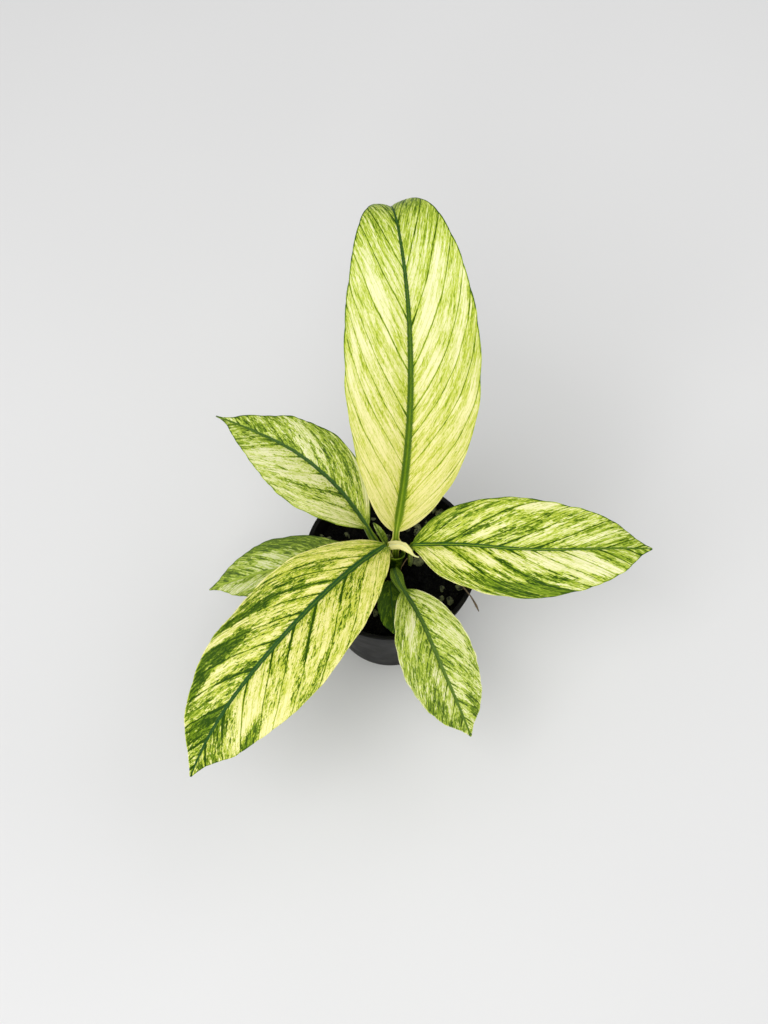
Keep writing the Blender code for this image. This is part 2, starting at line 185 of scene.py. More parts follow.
@dataclass
class Half:
    """The markings of one half of a blade.

    Every tuple but veins, sweep and patches runs evenly from the blade's base to its
    tip: veil is the share of pale tissue under a thin lime veil, green the share of
    green streaks beside the rib, margin that share at the margin, dark the share of
    green that is deep green, and yellow how yellow the pale tissue is. line is how
    dark the margin's own line is, or below 0 how pale a painted highlight along the
    edge is. vein_line is how plainly the side veins show, and veins holds where the
    main ones leave the rib. flame is how far green runs out from it along them, in
    millimetres. Each row of patches lies between two places where veins leave the rib
    and between two shares of the way out, and has a green and a dark share of its own.
    strips is how far the strips between veins differ, and skirt how far green spreads
    from the rib near the base, in millimetres. sweep, bend and hook are how far side
    veins run towards the tip on their way out.
    """
    green: tuple
    margin: tuple
    dark: tuple = (0.3,)
    veil: tuple = (0.5,)
    yellow: tuple = (0.2,)
    line: tuple = (0.6,)
    veins: tuple = (0.05, 0.16, 0.27, 0.38, 0.5, 0.62, 0.74, 0.86)
    vein_line: tuple = (0.3, 0.45)
    flame: float = 12.0
    strips: float = 0.5
    skirt: float = 4.0
    sweep: tuple = (0.4, 0.1)
    bend: float = 0.3
    hook: float = 0.1
    patches: tuple = ()


@dataclass
class Leaf:
    """One leaf with its stalk: the model's own shape, then its markings.

    foot and start are the two ends of the stalk. A tuple of angles runs evenly
    from the blade's start to its tip: heading and pitch steer the middle line,
    roll tips the blade to one side, and fold lifts each half. left and right
    are the widest half widths, at the share fullest of the length. The stalk
    leaves the foot upright for its share rise, meets the blade at the pitch lift
    over its share reach, and has wings about the share wing_at. ripple is how high
    the margin's waves are, and ripples how many it has. rib is the midrib's half
    width at the base, rib_taper the power at which it narrows to the tip,
    rib_green how green it is from base to tip, and rib_sheen how pale its middle
    is, a painted sheen along the rib. stalk_tone holds the stalk's green share in
    the middle and at its wings, and its dark share. waist is how far each half is
    drawn in at the base. drip is how far the blade narrows to a drawn out tip, from
    the share drip_from on, and dull how far the leaf's colours are greyed, a painted
    shade and sheen on leaves that lie in shade or under a dull sheen. soft is how
    softly its streaks run into each other, and stretch how long they are.
    """
    name: str
    slot: str
    foot: tuple
    start: tuple
    length: float
    heading: tuple
    pitch: tuple
    left: float
    right: float
    halves: tuple
    roll: tuple = (0, 0)
    fold: tuple = (20, 10, 10)
    fullest: float = 0.45
    fullness: float = 0.8
    lift: float = 70
    rise: float = 0.45
    reach: float = 0.25
    stalk: float = 1.5
    depth: float = 1.7
    wing: float = 0.5
    wing_at: float = 0.6
    wing_spread: float = 0.18
    ripple: float = 0.5
    ripples: float = 3.0
    rib: float = 1.0
    rib_taper: float = 0.55
    rib_green: tuple = (0.9, 0.9)
    rib_sheen: tuple = (0.3, 0.0)
    stalk_tone: tuple = (0.95, 0.8, 0.7)
    waist: tuple = (0.0, 0.0)
    drip: float = 0.5
    drip_from: float = 0.84
    dull: float = 0.0
    soft: float = 0.0
    stretch: float = 1.0


PLAIN_GREEN = Half(
    green=(0.998,), margin=(0.998,), dark=(0.995,), veil=(0.9,), yellow=(0.0,), line=(0.0,),
    vein_line=(0.02,), flame=0.01, strips=0.02, skirt=0.01)
GREEN_TO_PALE = Half(
    green=(0.8, 0.7, 0.6), margin=(0.7, 0.6, 0.4), dark=(0.3, 0.2, 0.1), veil=(0.9, 0.8),
    yellow=(0.0,), line=(0.0,), vein_line=(0.02,), flame=0.01, strips=0.2, skirt=0.01)
PLAIN_CREAM = Half(
    green=(0.02,), margin=(0.02,), dark=(0.02,), veil=(0.05,), yellow=(0.9, 0.7),
    line=(0.1,), vein_line=(0.04,), flame=0.01, strips=0.2, skirt=0.01)

# What both halves of one leaf share
ON_UPRIGHT = dict(
    veil=(0.1, 0.4, 0.5, 0.5, 0.6), yellow=(1.0, 0.85, 0.5, 0.25, 0.1), line=(-0.2, 0.3, 0.6, 1.0),
    vein_line=(0.2, 0.36, 0.38, 0.38, 0.42), flame=6.0, strips=0.15, sweep=(0.3, 0.35), bend=0.25, hook=0.2)
ON_LEFT = dict(veil=(0.7,), yellow=(0.1,), line=(0.3,), flame=6.0)
ON_LOWER_LEFT = dict(veil=(0.5, 0.5, 0.4), vein_line=(0.3, 0.5), flame=20.0)
ON_LOWER_RIGHT = dict(veil=(0.6,), yellow=(0.3, 0.2), line=(-0.4,), vein_line=(0.25, 0.35), flame=7.0)

LEAVES = (
    Leaf("leaf_upright", "leaf_cream", foot=(2.5, 1.7), start=(2.5, 2.5, 109.5), length=191,
         heading=(69, 82, 92, 98, 100), pitch=(73, 60, 54, 44, 10, -65), left=31, right=33,
         roll=(-5, -1, 9), fold=(23, 13, 18), fullest=0.50, fullness=0.82, lift=82,
         wing=2.4, wing_at=0.62, wing_spread=0.1, rib=2.4, rib_taper=0.9,
         rib_green=(0.72, 0.86, 0.88, 0.93, 1.0, 1.0),
         rib_sheen=(0.25, 0.1, 0.1), drip=0.0, stalk_tone=(0.85, 0.1, 0.3), soft=1.2, stretch=1.3,
         halves=(
             Half(**ON_UPRIGHT, green=(0.01, 0.01, 0.02, 0.03, 0.04, 0.06, 0.08, 0.6, 0.97),
                  margin=(0.02, 0.05, 0.08, 0.14, 0.2, 0.28, 0.35, 0.75, 0.97),
                  dark=(0.03, 0.03, 0.03, 0.03, 0.03, 0.05, 0.08, 0.4, 0.8),
                  veins=(-0.02, 0.1, 0.205, 0.28, 0.35, 0.47, 0.6, 0.72, 0.85),
                  patches=((0.12, 0.18, 0.45, 0.95, 0.0, 0.1), (0.29, 0.33, 0.55, 0.8, 0.0, 0.1),
                           (0.21, 0.27, 0.75, 0.9, 0.0, 0.1), (0.48, 0.56, 0.25, 0.6, 0.03, 0.1),
                           (0.2, 0.5, 0.88, 1.2, 0.5, 0.2), (0.5, 0.7, 0.6, 1.2, 0.5, 0.25),
                           (0.71, 0.82, 0.5, 1.2, 0.6, 0.4))),
             Half(**ON_UPRIGHT, green=(0.01, 0.01, 0.02, 0.03, 0.04, 0.06, 0.08, 0.7, 0.97),
                  margin=(0.02, 0.06, 0.1, 0.18, 0.25, 0.33, 0.45, 0.85, 0.97),
                  dark=(0.03, 0.03, 0.03, 0.03, 0.03, 0.06, 0.1, 0.5, 0.85),
                  veins=(-0.03, 0.085, 0.2, 0.29, 0.365, 0.48, 0.585, 0.72, 0.85),
                  patches=((0.49, 0.57, 0.05, 0.55, 0.0, 0.0), (0.3, 0.35, 0.65, 0.85, 0.04, 0.1),
                           (0.37, 0.42, 0.1, 0.4, 0.02, 0.1), (0.1, 0.15, 0.75, 0.9, 0.0, 0.1),
                           (0.2, 0.5, 0.85, 1.2, 0.5, 0.2), (0.58, 0.7, 0.4, 1.2, 0.5, 0.3),
                           (0.71, 0.82, 0.5, 1.2, 0.7, 0.5))),
         )),
    Leaf("leaf_upper_left", "leaf_streaked", foot=(-4.2, 4.4), start=(-12.5, 7.2, 103.5), length=100,
         heading=(132, 143, 152, 154), pitch=(49, 28, -1, -9), left=25, right=19,
         roll=(-7, -2, -1), fold=(17, 6, 11), fullest=0.42, fullness=0.99, lift=68,
         ripple=0.7, ripples=4.5, rib=1.2, rib_green=(1.0, 1.0, 0.95, 0.85), rib_sheen=(0.1, 0.0), dull=0.1,
         stalk_tone=(0.98, 0.9, 0.9), soft=0.15, stretch=0.7,
         halves=(
             Half(green=(0.3, 0.35, 0.3, 0.6), margin=(0.3, 0.4, 0.45, 0.8),
                  dark=(0.4, 0.35, 0.3, 0.3), veil=(0.5, 0.4, 0.5), yellow=(0.5, 0.3, 0.1), line=(0.5,),
                  sweep=(0.6, 0.1), bend=0.6, hook=0.0,
                  veins=(0.0, 0.09, 0.22, 0.36, 0.5, 0.62, 0.75), vein_line=(0.2, 0.12), flame=5.0,
                  patches=((0.19, 0.235, 0.0, 0.7, 0.72, 0.6), (0.08, 0.18, 0.3, 0.9, 0.4, 0.5),
                           (0.25, 0.6, 0.1, 0.45, 0.12, 0.2), (-0.2, 0.05, 0.2, 0.9, 0.15, 0.2),
                           (0.35, 0.6, 0.5, 1.0, 0.2, 0.3), (0.6, 1.0, 0.0, 1.0, 0.6, 0.3))),
             Half(green=(0.5, 0.55, 0.35, 0.6), margin=(0.55, 0.85, 0.85, 0.85),
                  dark=(0.5, 0.5, 0.5, 0.35), veil=(0.6, 0.5, 0.6), yellow=(0.6, 0.2, 0.1), line=(0.7,),
                  sweep=(0.42, 0.1), bend=0.35, hook=0.1,
                  veins=(0.0, 0.11, 0.2, 0.27, 0.38, 0.48, 0.6, 0.75), vein_line=(0.3, 0.2), flame=6.0,
                  patches=((0.08, 0.14, 0.2, 0.75, 0.85, 0.6), (0.25, 0.3, 0.0, 0.65, 0.85, 0.6),
                           (0.3, 0.48, 0.0, 0.35, 0.12, 0.3), (0.31, 0.42, 0.4, 0.7, 0.15, 0.3),
                           (-0.25, -0.05, 0.5, 1.0, 0.1, 0.1), (0.36, 0.39, 0.15, 0.35, 0.9, 0.6),
                           (0.6, 1.0, 0.0, 1.0, 0.6, 0.3))),
         )),
    Leaf("leaf_right", "leaf_streaked", foot=(9.8, 1.8), start=(11.5, -1.0, 99.0), length=125,
         heading=(-12, -11, 4, 9), pitch=(33, 11, -4, -24), left=25.5, right=26,
         roll=(-11, -5, -2), fold=(18, 6, 8), fullest=0.45, fullness=0.75, wing=0.3,
         rib=0.95, rib_green=(1.0, 0.95, 0.95), rib_sheen=(0.4, 0.25), waist=(0.15, 0.45),
         stalk_tone=(0.98, 0.97, 0.8), soft=0.1, stretch=1.5,
         halves=(
             Half(green=(0.55, 0.45, 0.4, 0.5), margin=(0.9, 0.8, 0.6, 0.75),
                  dark=(0.4, 0.35, 0.3, 0.3), veil=(0.5,), yellow=(0.6, 0.4, 0.2), line=(0.6,),
                  sweep=(0.27, 0.6), bend=0.0, hook=0.35,
                  veins=(0.0, 0.12, 0.26, 0.35, 0.5, 0.64, 0.78), flame=10.0,
                  patches=((0.05, 0.11, 0.2, 0.85, 0.25, 0.2), (0.12, 0.17, 0.1, 0.8, 0.6, 0.5),
                           (0.18, 0.24, 0.1, 0.45, 0.25, 0.3), (0.25, 0.3, 0.1, 0.7, 0.65, 0.6),
                           (0.12, 0.32, 0.75, 0.95, 0.15, 0.2), (0.36, 0.48, 0.1, 0.5, 0.25, 0.3),
                           (0.49, 0.54, 0.0, 0.7, 0.55, 0.5), (0.55, 0.66, 0.1, 0.35, 0.2, 0.3),
                           (-0.2, 0.02, 0.1, 0.7, 0.7, 0.4))),
             Half(green=(0.4, 0.4, 0.4, 0.6), margin=(0.4, 0.75, 0.4, 0.8),
                  dark=(0.35, 0.5, 0.4, 0.3), veil=(0.45,), yellow=(0.7, 0.4, 0.2),
                  line=(-0.5, -0.3, 0.3, 0.5), sweep=(0.32, 0.14), bend=0.05, hook=0.4,
                  veins=(-0.02, 0.12, 0.28, 0.4, 0.49, 0.6, 0.75), flame=10.0,
                  patches=((-0.2, 0.1, 0.2, 0.6, 0.12, 0.2), (0.11, 0.15, 0.0, 0.9, 0.75, 0.6),
                           (0.15, 0.2, 0.1, 0.5, 0.5, 0.4), (0.2, 0.27, 0.05, 0.45, 0.15, 0.2),
                           (0.26, 0.3, 0.25, 0.9, 0.85, 0.75), (0.02, 0.3, 0.68, 1.0, 0.95, 0.85),
                           (0.3, 0.39, 0.1, 0.5, 0.12, 0.3), (0.3, 0.4, 0.5, 0.7, 0.7, 0.7),
                           (0.42, 0.47, 0.1, 0.7, 0.08, 0.2), (0.5, 0.66, 0.08, 0.55, 0.1, 0.2),
                           (0.68, 1.0, 0.0, 1.0, 0.65, 0.2))),
         )),
    Leaf("leaf_left", "leaf_streaked", foot=(-5.6, 0.4), start=(-8.5, -2.5, 92.5), length=90,
         heading=(200, 185, 186, 192), pitch=(8, -3, -20, -28), left=16, right=16,
         roll=(-2, 1, -2), fold=(15, 9, 8), fullest=0.50, fullness=1.1, lift=62, rib=1.0, dull=0.25,
         rib_green=(0.9, 0.6, 0.5), soft=0.3,
         halves=(
             Half(**ON_LEFT, green=(0.6, 0.6, 0.4), margin=(0.6, 0.5, 0.5), dark=(0.5, 0.4, 0.3),
                  patches=((0.5, 0.75, 0.2, 0.5, 0.15, 0.2), (0.75, 0.9, 0.0, 0.3, 0.2, 0.2))),
             Half(**ON_LEFT, green=(0.6, 0.45, 0.4), margin=(0.85, 0.9, 0.7), dark=(0.5, 0.5, 0.3),
                  patches=((0.0, 0.5, 0.65, 1.1, 0.97, 0.75), (0.36, 0.46, 0.2, 0.6, 0.15, 0.1),
                           (0.48, 0.6, 0.0, 0.35, 0.1, 0.1), (0.7, 0.85, 0.2, 0.4, 0.9, 0.5))),
         )),
    Leaf("leaf_lower_left", "leaf_streaked", foot=(-3.6, -5.0), start=(-3.0, -4.5, 105.5), length=160,
         heading=(227, 229, 230, 240), pitch=(36, 5, -18, -46), left=31, right=28,
         roll=(-1, -10, 3), fold=(19, 0, 7), fullest=0.49, fullness=0.90, lift=82,
         ripple=0.9, rib=1.6, rib_green=(1.0, 1.0, 1.0), rib_sheen=(0.15, 0.1, 0.0), stretch=0.8,
         halves=(
             Half(**ON_LOWER_LEFT, green=(0.35, 0.4, 0.35, 0.35, 0.5), margin=(0.25, 0.3, 0.35, 0.4, 0.6),
                  dark=(0.3, 0.4, 0.5, 0.6), yellow=(1.0, 0.9, 0.8, 0.5), line=(0.0, -0.2, 0.4),
                  veins=(-0.04, 0.07, 0.19, 0.33, 0.43, 0.52, 0.64, 0.76, 0.88), sweep=(0.3, 0.1), bend=0.15,
                  patches=((-0.15, 0.05, 0.3, 0.9, 0.2, 0.1), (0.07, 0.18, 0.2, 0.75, 0.5, 0.4),
                           (0.09, 0.16, 0.75, 0.95, 0.2, 0.2), (0.18, 0.2, 0.0, 0.35, 0.95, 0.9),
                           (0.21, 0.31, 0.2, 0.8, 0.2, 0.4), (0.32, 0.345, 0.1, 0.65, 1.0, 0.95),
                           (0.3, 0.36, 0.6, 0.85, 0.6, 0.6), (0.2, 0.25, 0.75, 0.95, 0.7, 0.7),
                           (0.355, 0.42, 0.15, 0.7, 0.15, 0.3), (0.42, 0.44, 0.1, 0.28, 0.95, 0.9),
                           (0.36, 0.52, 0.65, 0.95, 0.05, 0.2), (0.45, 0.52, 0.15, 0.6, 0.35, 0.4),
                           (0.53, 0.68, 0.1, 0.5, 0.08, 0.3), (0.53, 0.63, 0.54, 0.7, 0.95, 0.8),
                           (0.72, 0.8, 0.05, 0.25, 0.85, 0.8), (0.8, 1.0, 0.0, 1.0, 0.7, 0.75))),
             Half(**ON_LOWER_LEFT, green=(0.35, 0.4, 0.4, 0.45, 0.6), margin=(0.3, 0.5, 0.6, 0.75, 0.8),
                  dark=(0.3, 0.5, 0.6, 0.8), yellow=(1.0, 0.9, 0.7, 0.4), line=(-0.2, -0.6, -0.6),
                  veins=(-0.04, 0.07, 0.15, 0.225, 0.29, 0.38, 0.49, 0.6, 0.73, 0.86),
                  sweep=(0.33, 0.1), bend=0.25,
                  patches=((-0.2, 0.05, 0.25, 1.0, 0.28, 0.2), (0.06, 0.2, 0.0, 0.35, 0.2, 0.3),
                           (0.05, 0.2, 0.4, 0.95, 0.7, 0.55), (0.215, 0.24, 0.1, 0.6, 0.95, 0.8),
                           (0.2, 0.28, 0.55, 1.05, 0.97, 0.95), (0.245, 0.28, 0.05, 0.25, 0.03, 0.1),
                           (0.285, 0.3, 0.1, 0.5, 0.9, 0.7), (0.3, 0.36, 0.1, 0.5, 0.3, 0.4),
                           (0.28, 0.36, 0.72, 0.9, 0.1, 0.2), (0.36, 0.5, 0.5, 0.85, 0.97, 0.97),
                           (0.39, 0.52, 0.05, 0.35, 0.25, 0.4), (0.51, 0.6, 0.3, 0.55, 0.15, 0.3),
                           (0.58, 0.62, 0.0, 0.4, 0.85, 0.7), (0.73, 0.83, 0.0, 0.35, 0.97, 0.95),
                           (0.5, 0.95, 0.55, 1.0, 0.93, 0.97))),
         )),
    Leaf("leaf_lower_right", "leaf_streaked", foot=(1.9, -6.3), start=(6.5, -22.5, 89.5), length=83,
         heading=(-59, -68, -63, -63), pitch=(13, -9, -27, -42), left=18, right=20,
         roll=(3, 0, -4), fold=(22, 12, 8), fullest=0.47, fullness=0.81, lift=6, rise=1.05,
         reach=0.4, wing=1.6, wing_at=0.72, rib=1.2, rib_green=(1.0, 0.92, 0.86, 0.86),
         # The stalk's dark share here is partly painted shade, for the crown's shade over it
         rib_sheen=(0.1, 0.0), dull=0.15, stalk_tone=(0.98, 0.95, 0.97),
         halves=(
             Half(**ON_LOWER_RIGHT, green=(0.4, 0.45, 0.4, 0.6), margin=(0.3, 0.35, 0.5, 0.8),
                  dark=(0.25, 0.3, 0.5),
                  patches=((0.05, 0.25, 0.5, 0.8, 0.15, 0.1), (0.43, 0.5, 0.05, 0.3, 0.8, 0.4),
                           (0.5, 0.7, 0.05, 0.35, 0.2, 0.2), (0.6, 0.85, 0.3, 0.45, 0.9, 0.6))),
             Half(**ON_LOWER_RIGHT, green=(0.4, 0.5, 0.45, 0.6), margin=(0.4, 0.65, 0.75, 0.8),
                  dark=(0.25, 0.4, 0.5),
                  patches=((0.04, 0.2, 0.25, 0.65, 0.1, 0.1), (0.24, 0.4, 0.1, 0.6, 0.65, 0.3),
                           (0.45, 0.52, 0.1, 0.3, 0.1, 0.1), (0.55, 0.75, 0.05, 0.3, 0.25, 0.2),
                           (0.5, 0.95, 0.3, 1.0, 0.85, 0.6))),
         )),
    Leaf("leaf_small_green", "leaf_green", foot=(-0.8, -9.6), start=(-0.5, -13.5, 80.0), length=30,
         heading=(-86, -86), pitch=(28, 4, -20), left=8, right=7.5, fold=(20, 12, 10),
         fullest=0.5, fullness=0.62, lift=60, rise=0.6, stalk=1.0, depth=0.9, wing=0.2,
         ripple=0, rib=0.15, rib_green=(1.0,), rib_sheen=(0.0,), dull=0.05,
         halves=(PLAIN_GREEN, PLAIN_GREEN)),
    Leaf("bract_cream", "leaf_cream", foot=(2.2, -0.9), start=(-1.4, -1.9, 99.4), length=18,
         heading=(8, -4, -36, -40, 0), pitch=(24, 16, -14, -28, -12), left=3.2, right=2.0,
         roll=(-60, -60, -35, -20), fold=(15, 20, 15), fullest=0.28, fullness=0.45, lift=85,
         stalk=0.9, depth=0.4, wing=0.1, ripple=0, rib=0.05, rib_green=(0.1,), drip=0.85, drip_from=0.45,
         stalk_tone=(0.95, 0.9, 0.5), halves=(PLAIN_CREAM, PLAIN_CREAM)),
    Leaf("bract_green", "leaf_green", foot=(-1.2, 7.4), start=(-3.2, 7.6, 84.0), length=14,
         heading=(138, 138), pitch=(64, 50), left=2.0, right=2.0, fold=(30, 30, 15),
         fullest=0.4, fullness=0.5, stalk=1.3, depth=0.5, wing=0.2, ripple=0, rib=0.15, dull=0.25,
         halves=(GREEN_TO_PALE, GREEN_TO_PALE)),
)

# Green sheath round the young stalk, as in the model but narrower at its foot
SHEATH_FOOT_RADIUS = 3.5
SHEATH_RIM_RADIUS = 4.9
SHEATH_RIM_LEVEL = 88.5
SHEATH_BACK_DROP = 9.0
SHEATH_THICK = 0.7
SHEATH_THINNING = 0.55
SHEATH_FROM = 130.0
SHEATH_SWEEP = 280.0
SHEATH_STEPS = (90, 26)

# What the leaf material reads on it: a seed, its width unrolled, its veins, its veil, green and
# dark levels, set deep partly as painted shade where the sheath sits under the leaves, how far its
# foot is from its rim, its paler rim, and a place clear of any rib
SHEATH_SEED = 77.0
SHEATH_UNROLLED = 24.0
SHEATH_VEINS = 6.0
SHEATH_LEVELS = (1.2, 2.6, 2.2)
SHEATH_MARGIN = 20.0
SHEATH_RIM_LINE = -0.35
OFF_RIB = 9.0

# Dry twig along the model's line but finer, and one thin root that rises out of the mix and dips back
TWIG_LINE = (
    (30.6, -6.6, 65.5), (33.4, -10.4, 72.4), (36.5, -15.5, 80.2),
    (40.5, -23.0, 84.4), (43.1, -29.0, 86.2), (44.2, -32.0, 86.4),
)
TWIG_RADII = (0.4, 0.4, 0.35, 0.35, 0.6, 0.2)
ROOT_LINE = (
    (9.6, 4.2, 68.5), (9.2, 3.4, 73.2), (8.4, 2.0, 74.6),
    (7.0, 0.0, 74.4), (5.8, -1.8, 73.6), (5.0, -2.6, 69.0),
)
ROOT_RADII = (0.3, 0.26, 0.24, 0.24, 0.22, 0.15)
TUBE_SIDES = 12
TUBE_STEPS = 60
TUBE_GNARL = 0.08
TUBE_RIDGES = 3
TUBE_WAVES = (40, 70)

# Stage, in metres: each lamp has its share of the key light's power, its width and its place.
# RIM_OFFSET is in pixels
FLOOR_RADIUS = 2.5
FLOOR_SIDES = 96
LAMPS = (
    ("key", 1.0, 1.2, (-0.45, -0.75, 1.4)),
    ("fill", 0.35, 1.4, (0.9, 0.5, 1.3)),
)
LAMP_AIM = (0.0, 0.0, 0.1)
SENSOR = 36.0
NEAR_CLIP = 0.01
IMAGE_HEIGHT = 1024
RIM_OFFSET = (7.0, 46.0)

# Colours that the pieces' own are mixed with, and the light from all round
# The first is a grey green that paints shade and a dull sheen onto leaves that lie in shade
SHADE_SHEEN_GREY = "#7F8F52"
LEAF_UNDERSIDE = "#BFC5A2"
POTTING_DUST = "#4A4640"
WASHED_PUMICE = "#747850"
ROOM = "#F6F6F6"


def linear(code):
    """Linear colour from sRGB hex.

    Each part c becomes c / 12.92 up to 0.04045, and ((c + 0.055) / 1.055) to the power 2.4 above it.
    """
    parts = np.array([int(code[i:i + 2], 16) for i in (1, 3, 5)]) / 255
    return tuple(np.where(parts > 0.04045, ((parts + 0.055) / 1.055) ** 2.4, parts / 12.92).tolist())


def size(name, description, millimetres):
    """A length that the user may change, given in millimetres and held in metres."""
    return bpy.props.FloatProperty(
        name=name, description=description, default=millimetres * MM, min=0.0,
        precision=5, unit="LENGTH", subtype="DISTANCE")


def colour(name, description, code):
    """A colour that the user may change, given as sRGB hex."""
    return bpy.props.FloatVectorProperty(
        name=name, description=description, default=linear(code), min=0.0, max=1.0, subtype="COLOR")


class LeafLook(bpy.types.PropertyGroup):
    """Sizes and colours of the leaves."""
    thickness: size("Blade thickness", "Thickness of a blade between its veins", 0.42)
    quilt: size("Quilting", "How deep the main side veins lie in the upper face", 0.32)
    step_along: size("Step along", "Mesh spacing along a blade", 0.8)
    step_across: size("Step across", "Mesh spacing across a blade", 1.1)
    cream: colour("Cream", "Tissue with no green in it", "#FAFAD0")
    yellow: colour("Yellow", "Pale tissue where it is yellow", "#FAF09E")
    lime: colour("Lime", "Tissue with one thin green layer", "#C0D44C")
    olive: colour("Olive", "The same where the pale tissue is yellow", "#CACF42")
    green: colour("Green", "Tissue with most of its green", "#789618")
    deep: colour("Deep green", "Tissue that is green all through", "#2C4C00")
    rib: colour("Rib", "Midrib and stalk", "#1F4E24")


class MixLook(bpy.types.PropertyGroup):
    """Sizes and colours of the potting mix."""
    step: size("Step", "Mesh spacing of the surface", 0.6)
    crumbs: bpy.props.IntProperty(
        name="Crumbs", description="Number of loose crumbs of peat and bark", default=4200, min=0)
    crumb_small: size("Smallest crumb", "Radius of the smallest crumbs", 0.35)
    crumb_large: size("Largest crumb", "Radius of the largest crumbs", 1.7)
    peat: colour("Peat", "Damp peat", "#030302")
    bark: colour("Bark", "Composted bark among the peat", "#17120C")
    pumice: colour("Pumice", "Weathered pumice lumps", "#555A38")


class PotLook(bpy.types.PropertyGroup):
    """Sizes and colours of the nursery pot."""
    sides: bpy.props.IntProperty(name="Sides", description="Sides of the turned wall", default=180, min=24)
    rim_round: size("Rim rounding", "Radius of the rim's edges", 0.55)
    plastic: colour("Plastic", "Carbon black polypropylene", "#040404")


class TrimLook(bpy.types.PropertyGroup):
    """Colours of the small dry pieces."""
    bark: colour("Twig bark", "Dry grey brown bark", "#6E5E4A")
    root: colour("Root skin", "Dull tan root skin", "#A88A62")


class StageLook(bpy.types.PropertyGroup):
    """Camera, light and floor."""
    elevation: bpy.props.FloatProperty(
        name="Elevation", description="Angle of the view below level", default=np.radians(65.0),
        subtype="ANGLE", unit="ROTATION")
    distance: size("Distance", "Camera to the pot's rim", 737.0)
    lens: bpy.props.FloatProperty(
        name="Lens", description="Focal length on a 36 mm sensor", default=50.0, subtype="DISTANCE_CAMERA")
    key_power: bpy.props.FloatProperty(
        name="Key light", description="Power of the large soft light", default=17.0, min=0.0, unit="POWER")
    sky: bpy.props.FloatProperty(
        name="Room light", description="Brightness of the light from all round", default=0.55, min=0.0)
    floor: colour("Floor", "Matte backdrop paper", "#E2E2E2")


def smooth(share):
    """Smooth step of a share: 3 s² - 2 s³, held between 0 and 1."""
    share = np.clip(share, 0, 1)
    return share ** 2 * (3 - 2 * share)


def along(values, share):
    """Value at a share of the way along an evenly spaced list."""
    return np.interp(share, np.linspace(0, 1, len(values)), values)


def skin(rings):
    """Faces over closed rings of equal count: squares between neighbours, and a fan on each end."""
    rows, count = rings.shape[:2]
    a = np.arange(count)
    b = np.roll(a, -1)
    lower = (np.arange(rows - 1) * count)[:, None]
    squares = np.stack([lower + a, lower + b, lower + count + b, lower + count + a], axis=-1).reshape(-1, 4)
    first, end = rows * count, (rows - 1) * count
    fans = np.vstack([
        np.column_stack([np.full(count, first), b, a]),
        np.column_stack([np.full(count, first + 1), end + a, end + b]),
    ])
    return squares, fans


def vectors(shape, *parts):
    """One vector at each point of a grid, from arrays or plain numbers."""
    return np.stack([np.broadcast_to(part, shape) for part in parts], axis=-1)


def with_poles(rings):
    """The rings' values in one list, and then the means of the first and last ring."""
    flat = rings.reshape(-1, rings.shape[-1])
    return np.vstack([flat, rings[0].mean(axis=0), rings[-1].mean(axis=0)])


def add_piece(name, points, squares, fans, look, nodes=(), crease=CREASE, tones=None):
    """A piece that rides on the plant, from points in millimetres, with its faces turned outwards.

    The sign of the sum of a . (b x c) over its triangles says which way round they are.
    """
    corners = np.vstack([squares[:, :3], squares[:, [0, 2, 3]], fans])
    a, b, c = (points[corners[:, k]] for k in range(3))
    if np.einsum("ij,ij->", a, np.cross(b, c)) < 0:
        squares, fans = squares[:, ::-1], fans[:, ::-1]
    mesh = bpy.data.meshes.new(name)
    mesh.from_pydata((points * MM).tolist(), [], squares.tolist() + fans.tolist())
    for key, values in (tones or {}).items():
        layer = mesh.attributes.new(key, "FLOAT_VECTOR", "POINT")
        layer.data.foreach_set("vector", values.astype(np.float32).ravel())
    mesh.materials.append(look)
    mesh.shade_smooth()
    mesh.set_sharp_from_angle(angle=np.radians(crease))
    piece = bpy.data.objects.new(name, mesh)
    bpy.context.scene.collection.objects.link(piece)
    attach(piece, "root")
    if nodes:
        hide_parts(*nodes)
    return piece


def add_shell(name, rings, look, nodes=(), crease=CREASE, tones=None):
    """A closed piece over rings of points, with what its material reads at each point."""
    squares, fans = skin(rings)
    tones = {key: with_poles(values) for key, values in (tones or {}).items()}
    return add_piece(name, with_poles(rings), squares, fans, look, nodes, crease, tones)


def feed(socket, source):
    """Set a socket to a value, or link it to an output or to a node's first output in use."""
    if isinstance(source, bpy.types.Node):
        source = next(s for s in source.outputs if s.enabled)
    if isinstance(source, bpy.types.NodeSocket):
        socket.id_data.links.new(source, socket)
    else:
        socket.default_value = source


def add(tree, kind, sockets=None, stops=(), **settings):
    """Add one shader node with its settings.

    sockets gives each named or numbered input a value or what feeds it, and stops
    gives a colour ramp its places and linear colours, in order.
    """
    node = tree.nodes.new("ShaderNode" + kind)
    for key, value in settings.items():
        setattr(node, key, value)
    for number, (place, value) in enumerate(stops):
        element = node.color_ramp.elements[number] if number < 2 else node.color_ramp.elements.new(place)
        element.position, element.color = place, (*value, 1.0)
    for key, value in (sockets or {}).items():
        socket = node.inputs[key] if isinstance(key, int) else next(
            s for s in node.inputs if s.name == key and s.enabled)
        feed(socket, value)
    return node


def new_material(name, **constants):
    """A Principled material with its constant sockets, and its node tree and shader."""
    made = bpy.data.materials.new(name)
    made.use_nodes = True
    shader = made.node_tree.nodes["Principled BSDF"]
    for key, value in constants.items():
        shader.inputs[key.replace("_", " ")].default_value = value
    return made, made.node_tree, shader


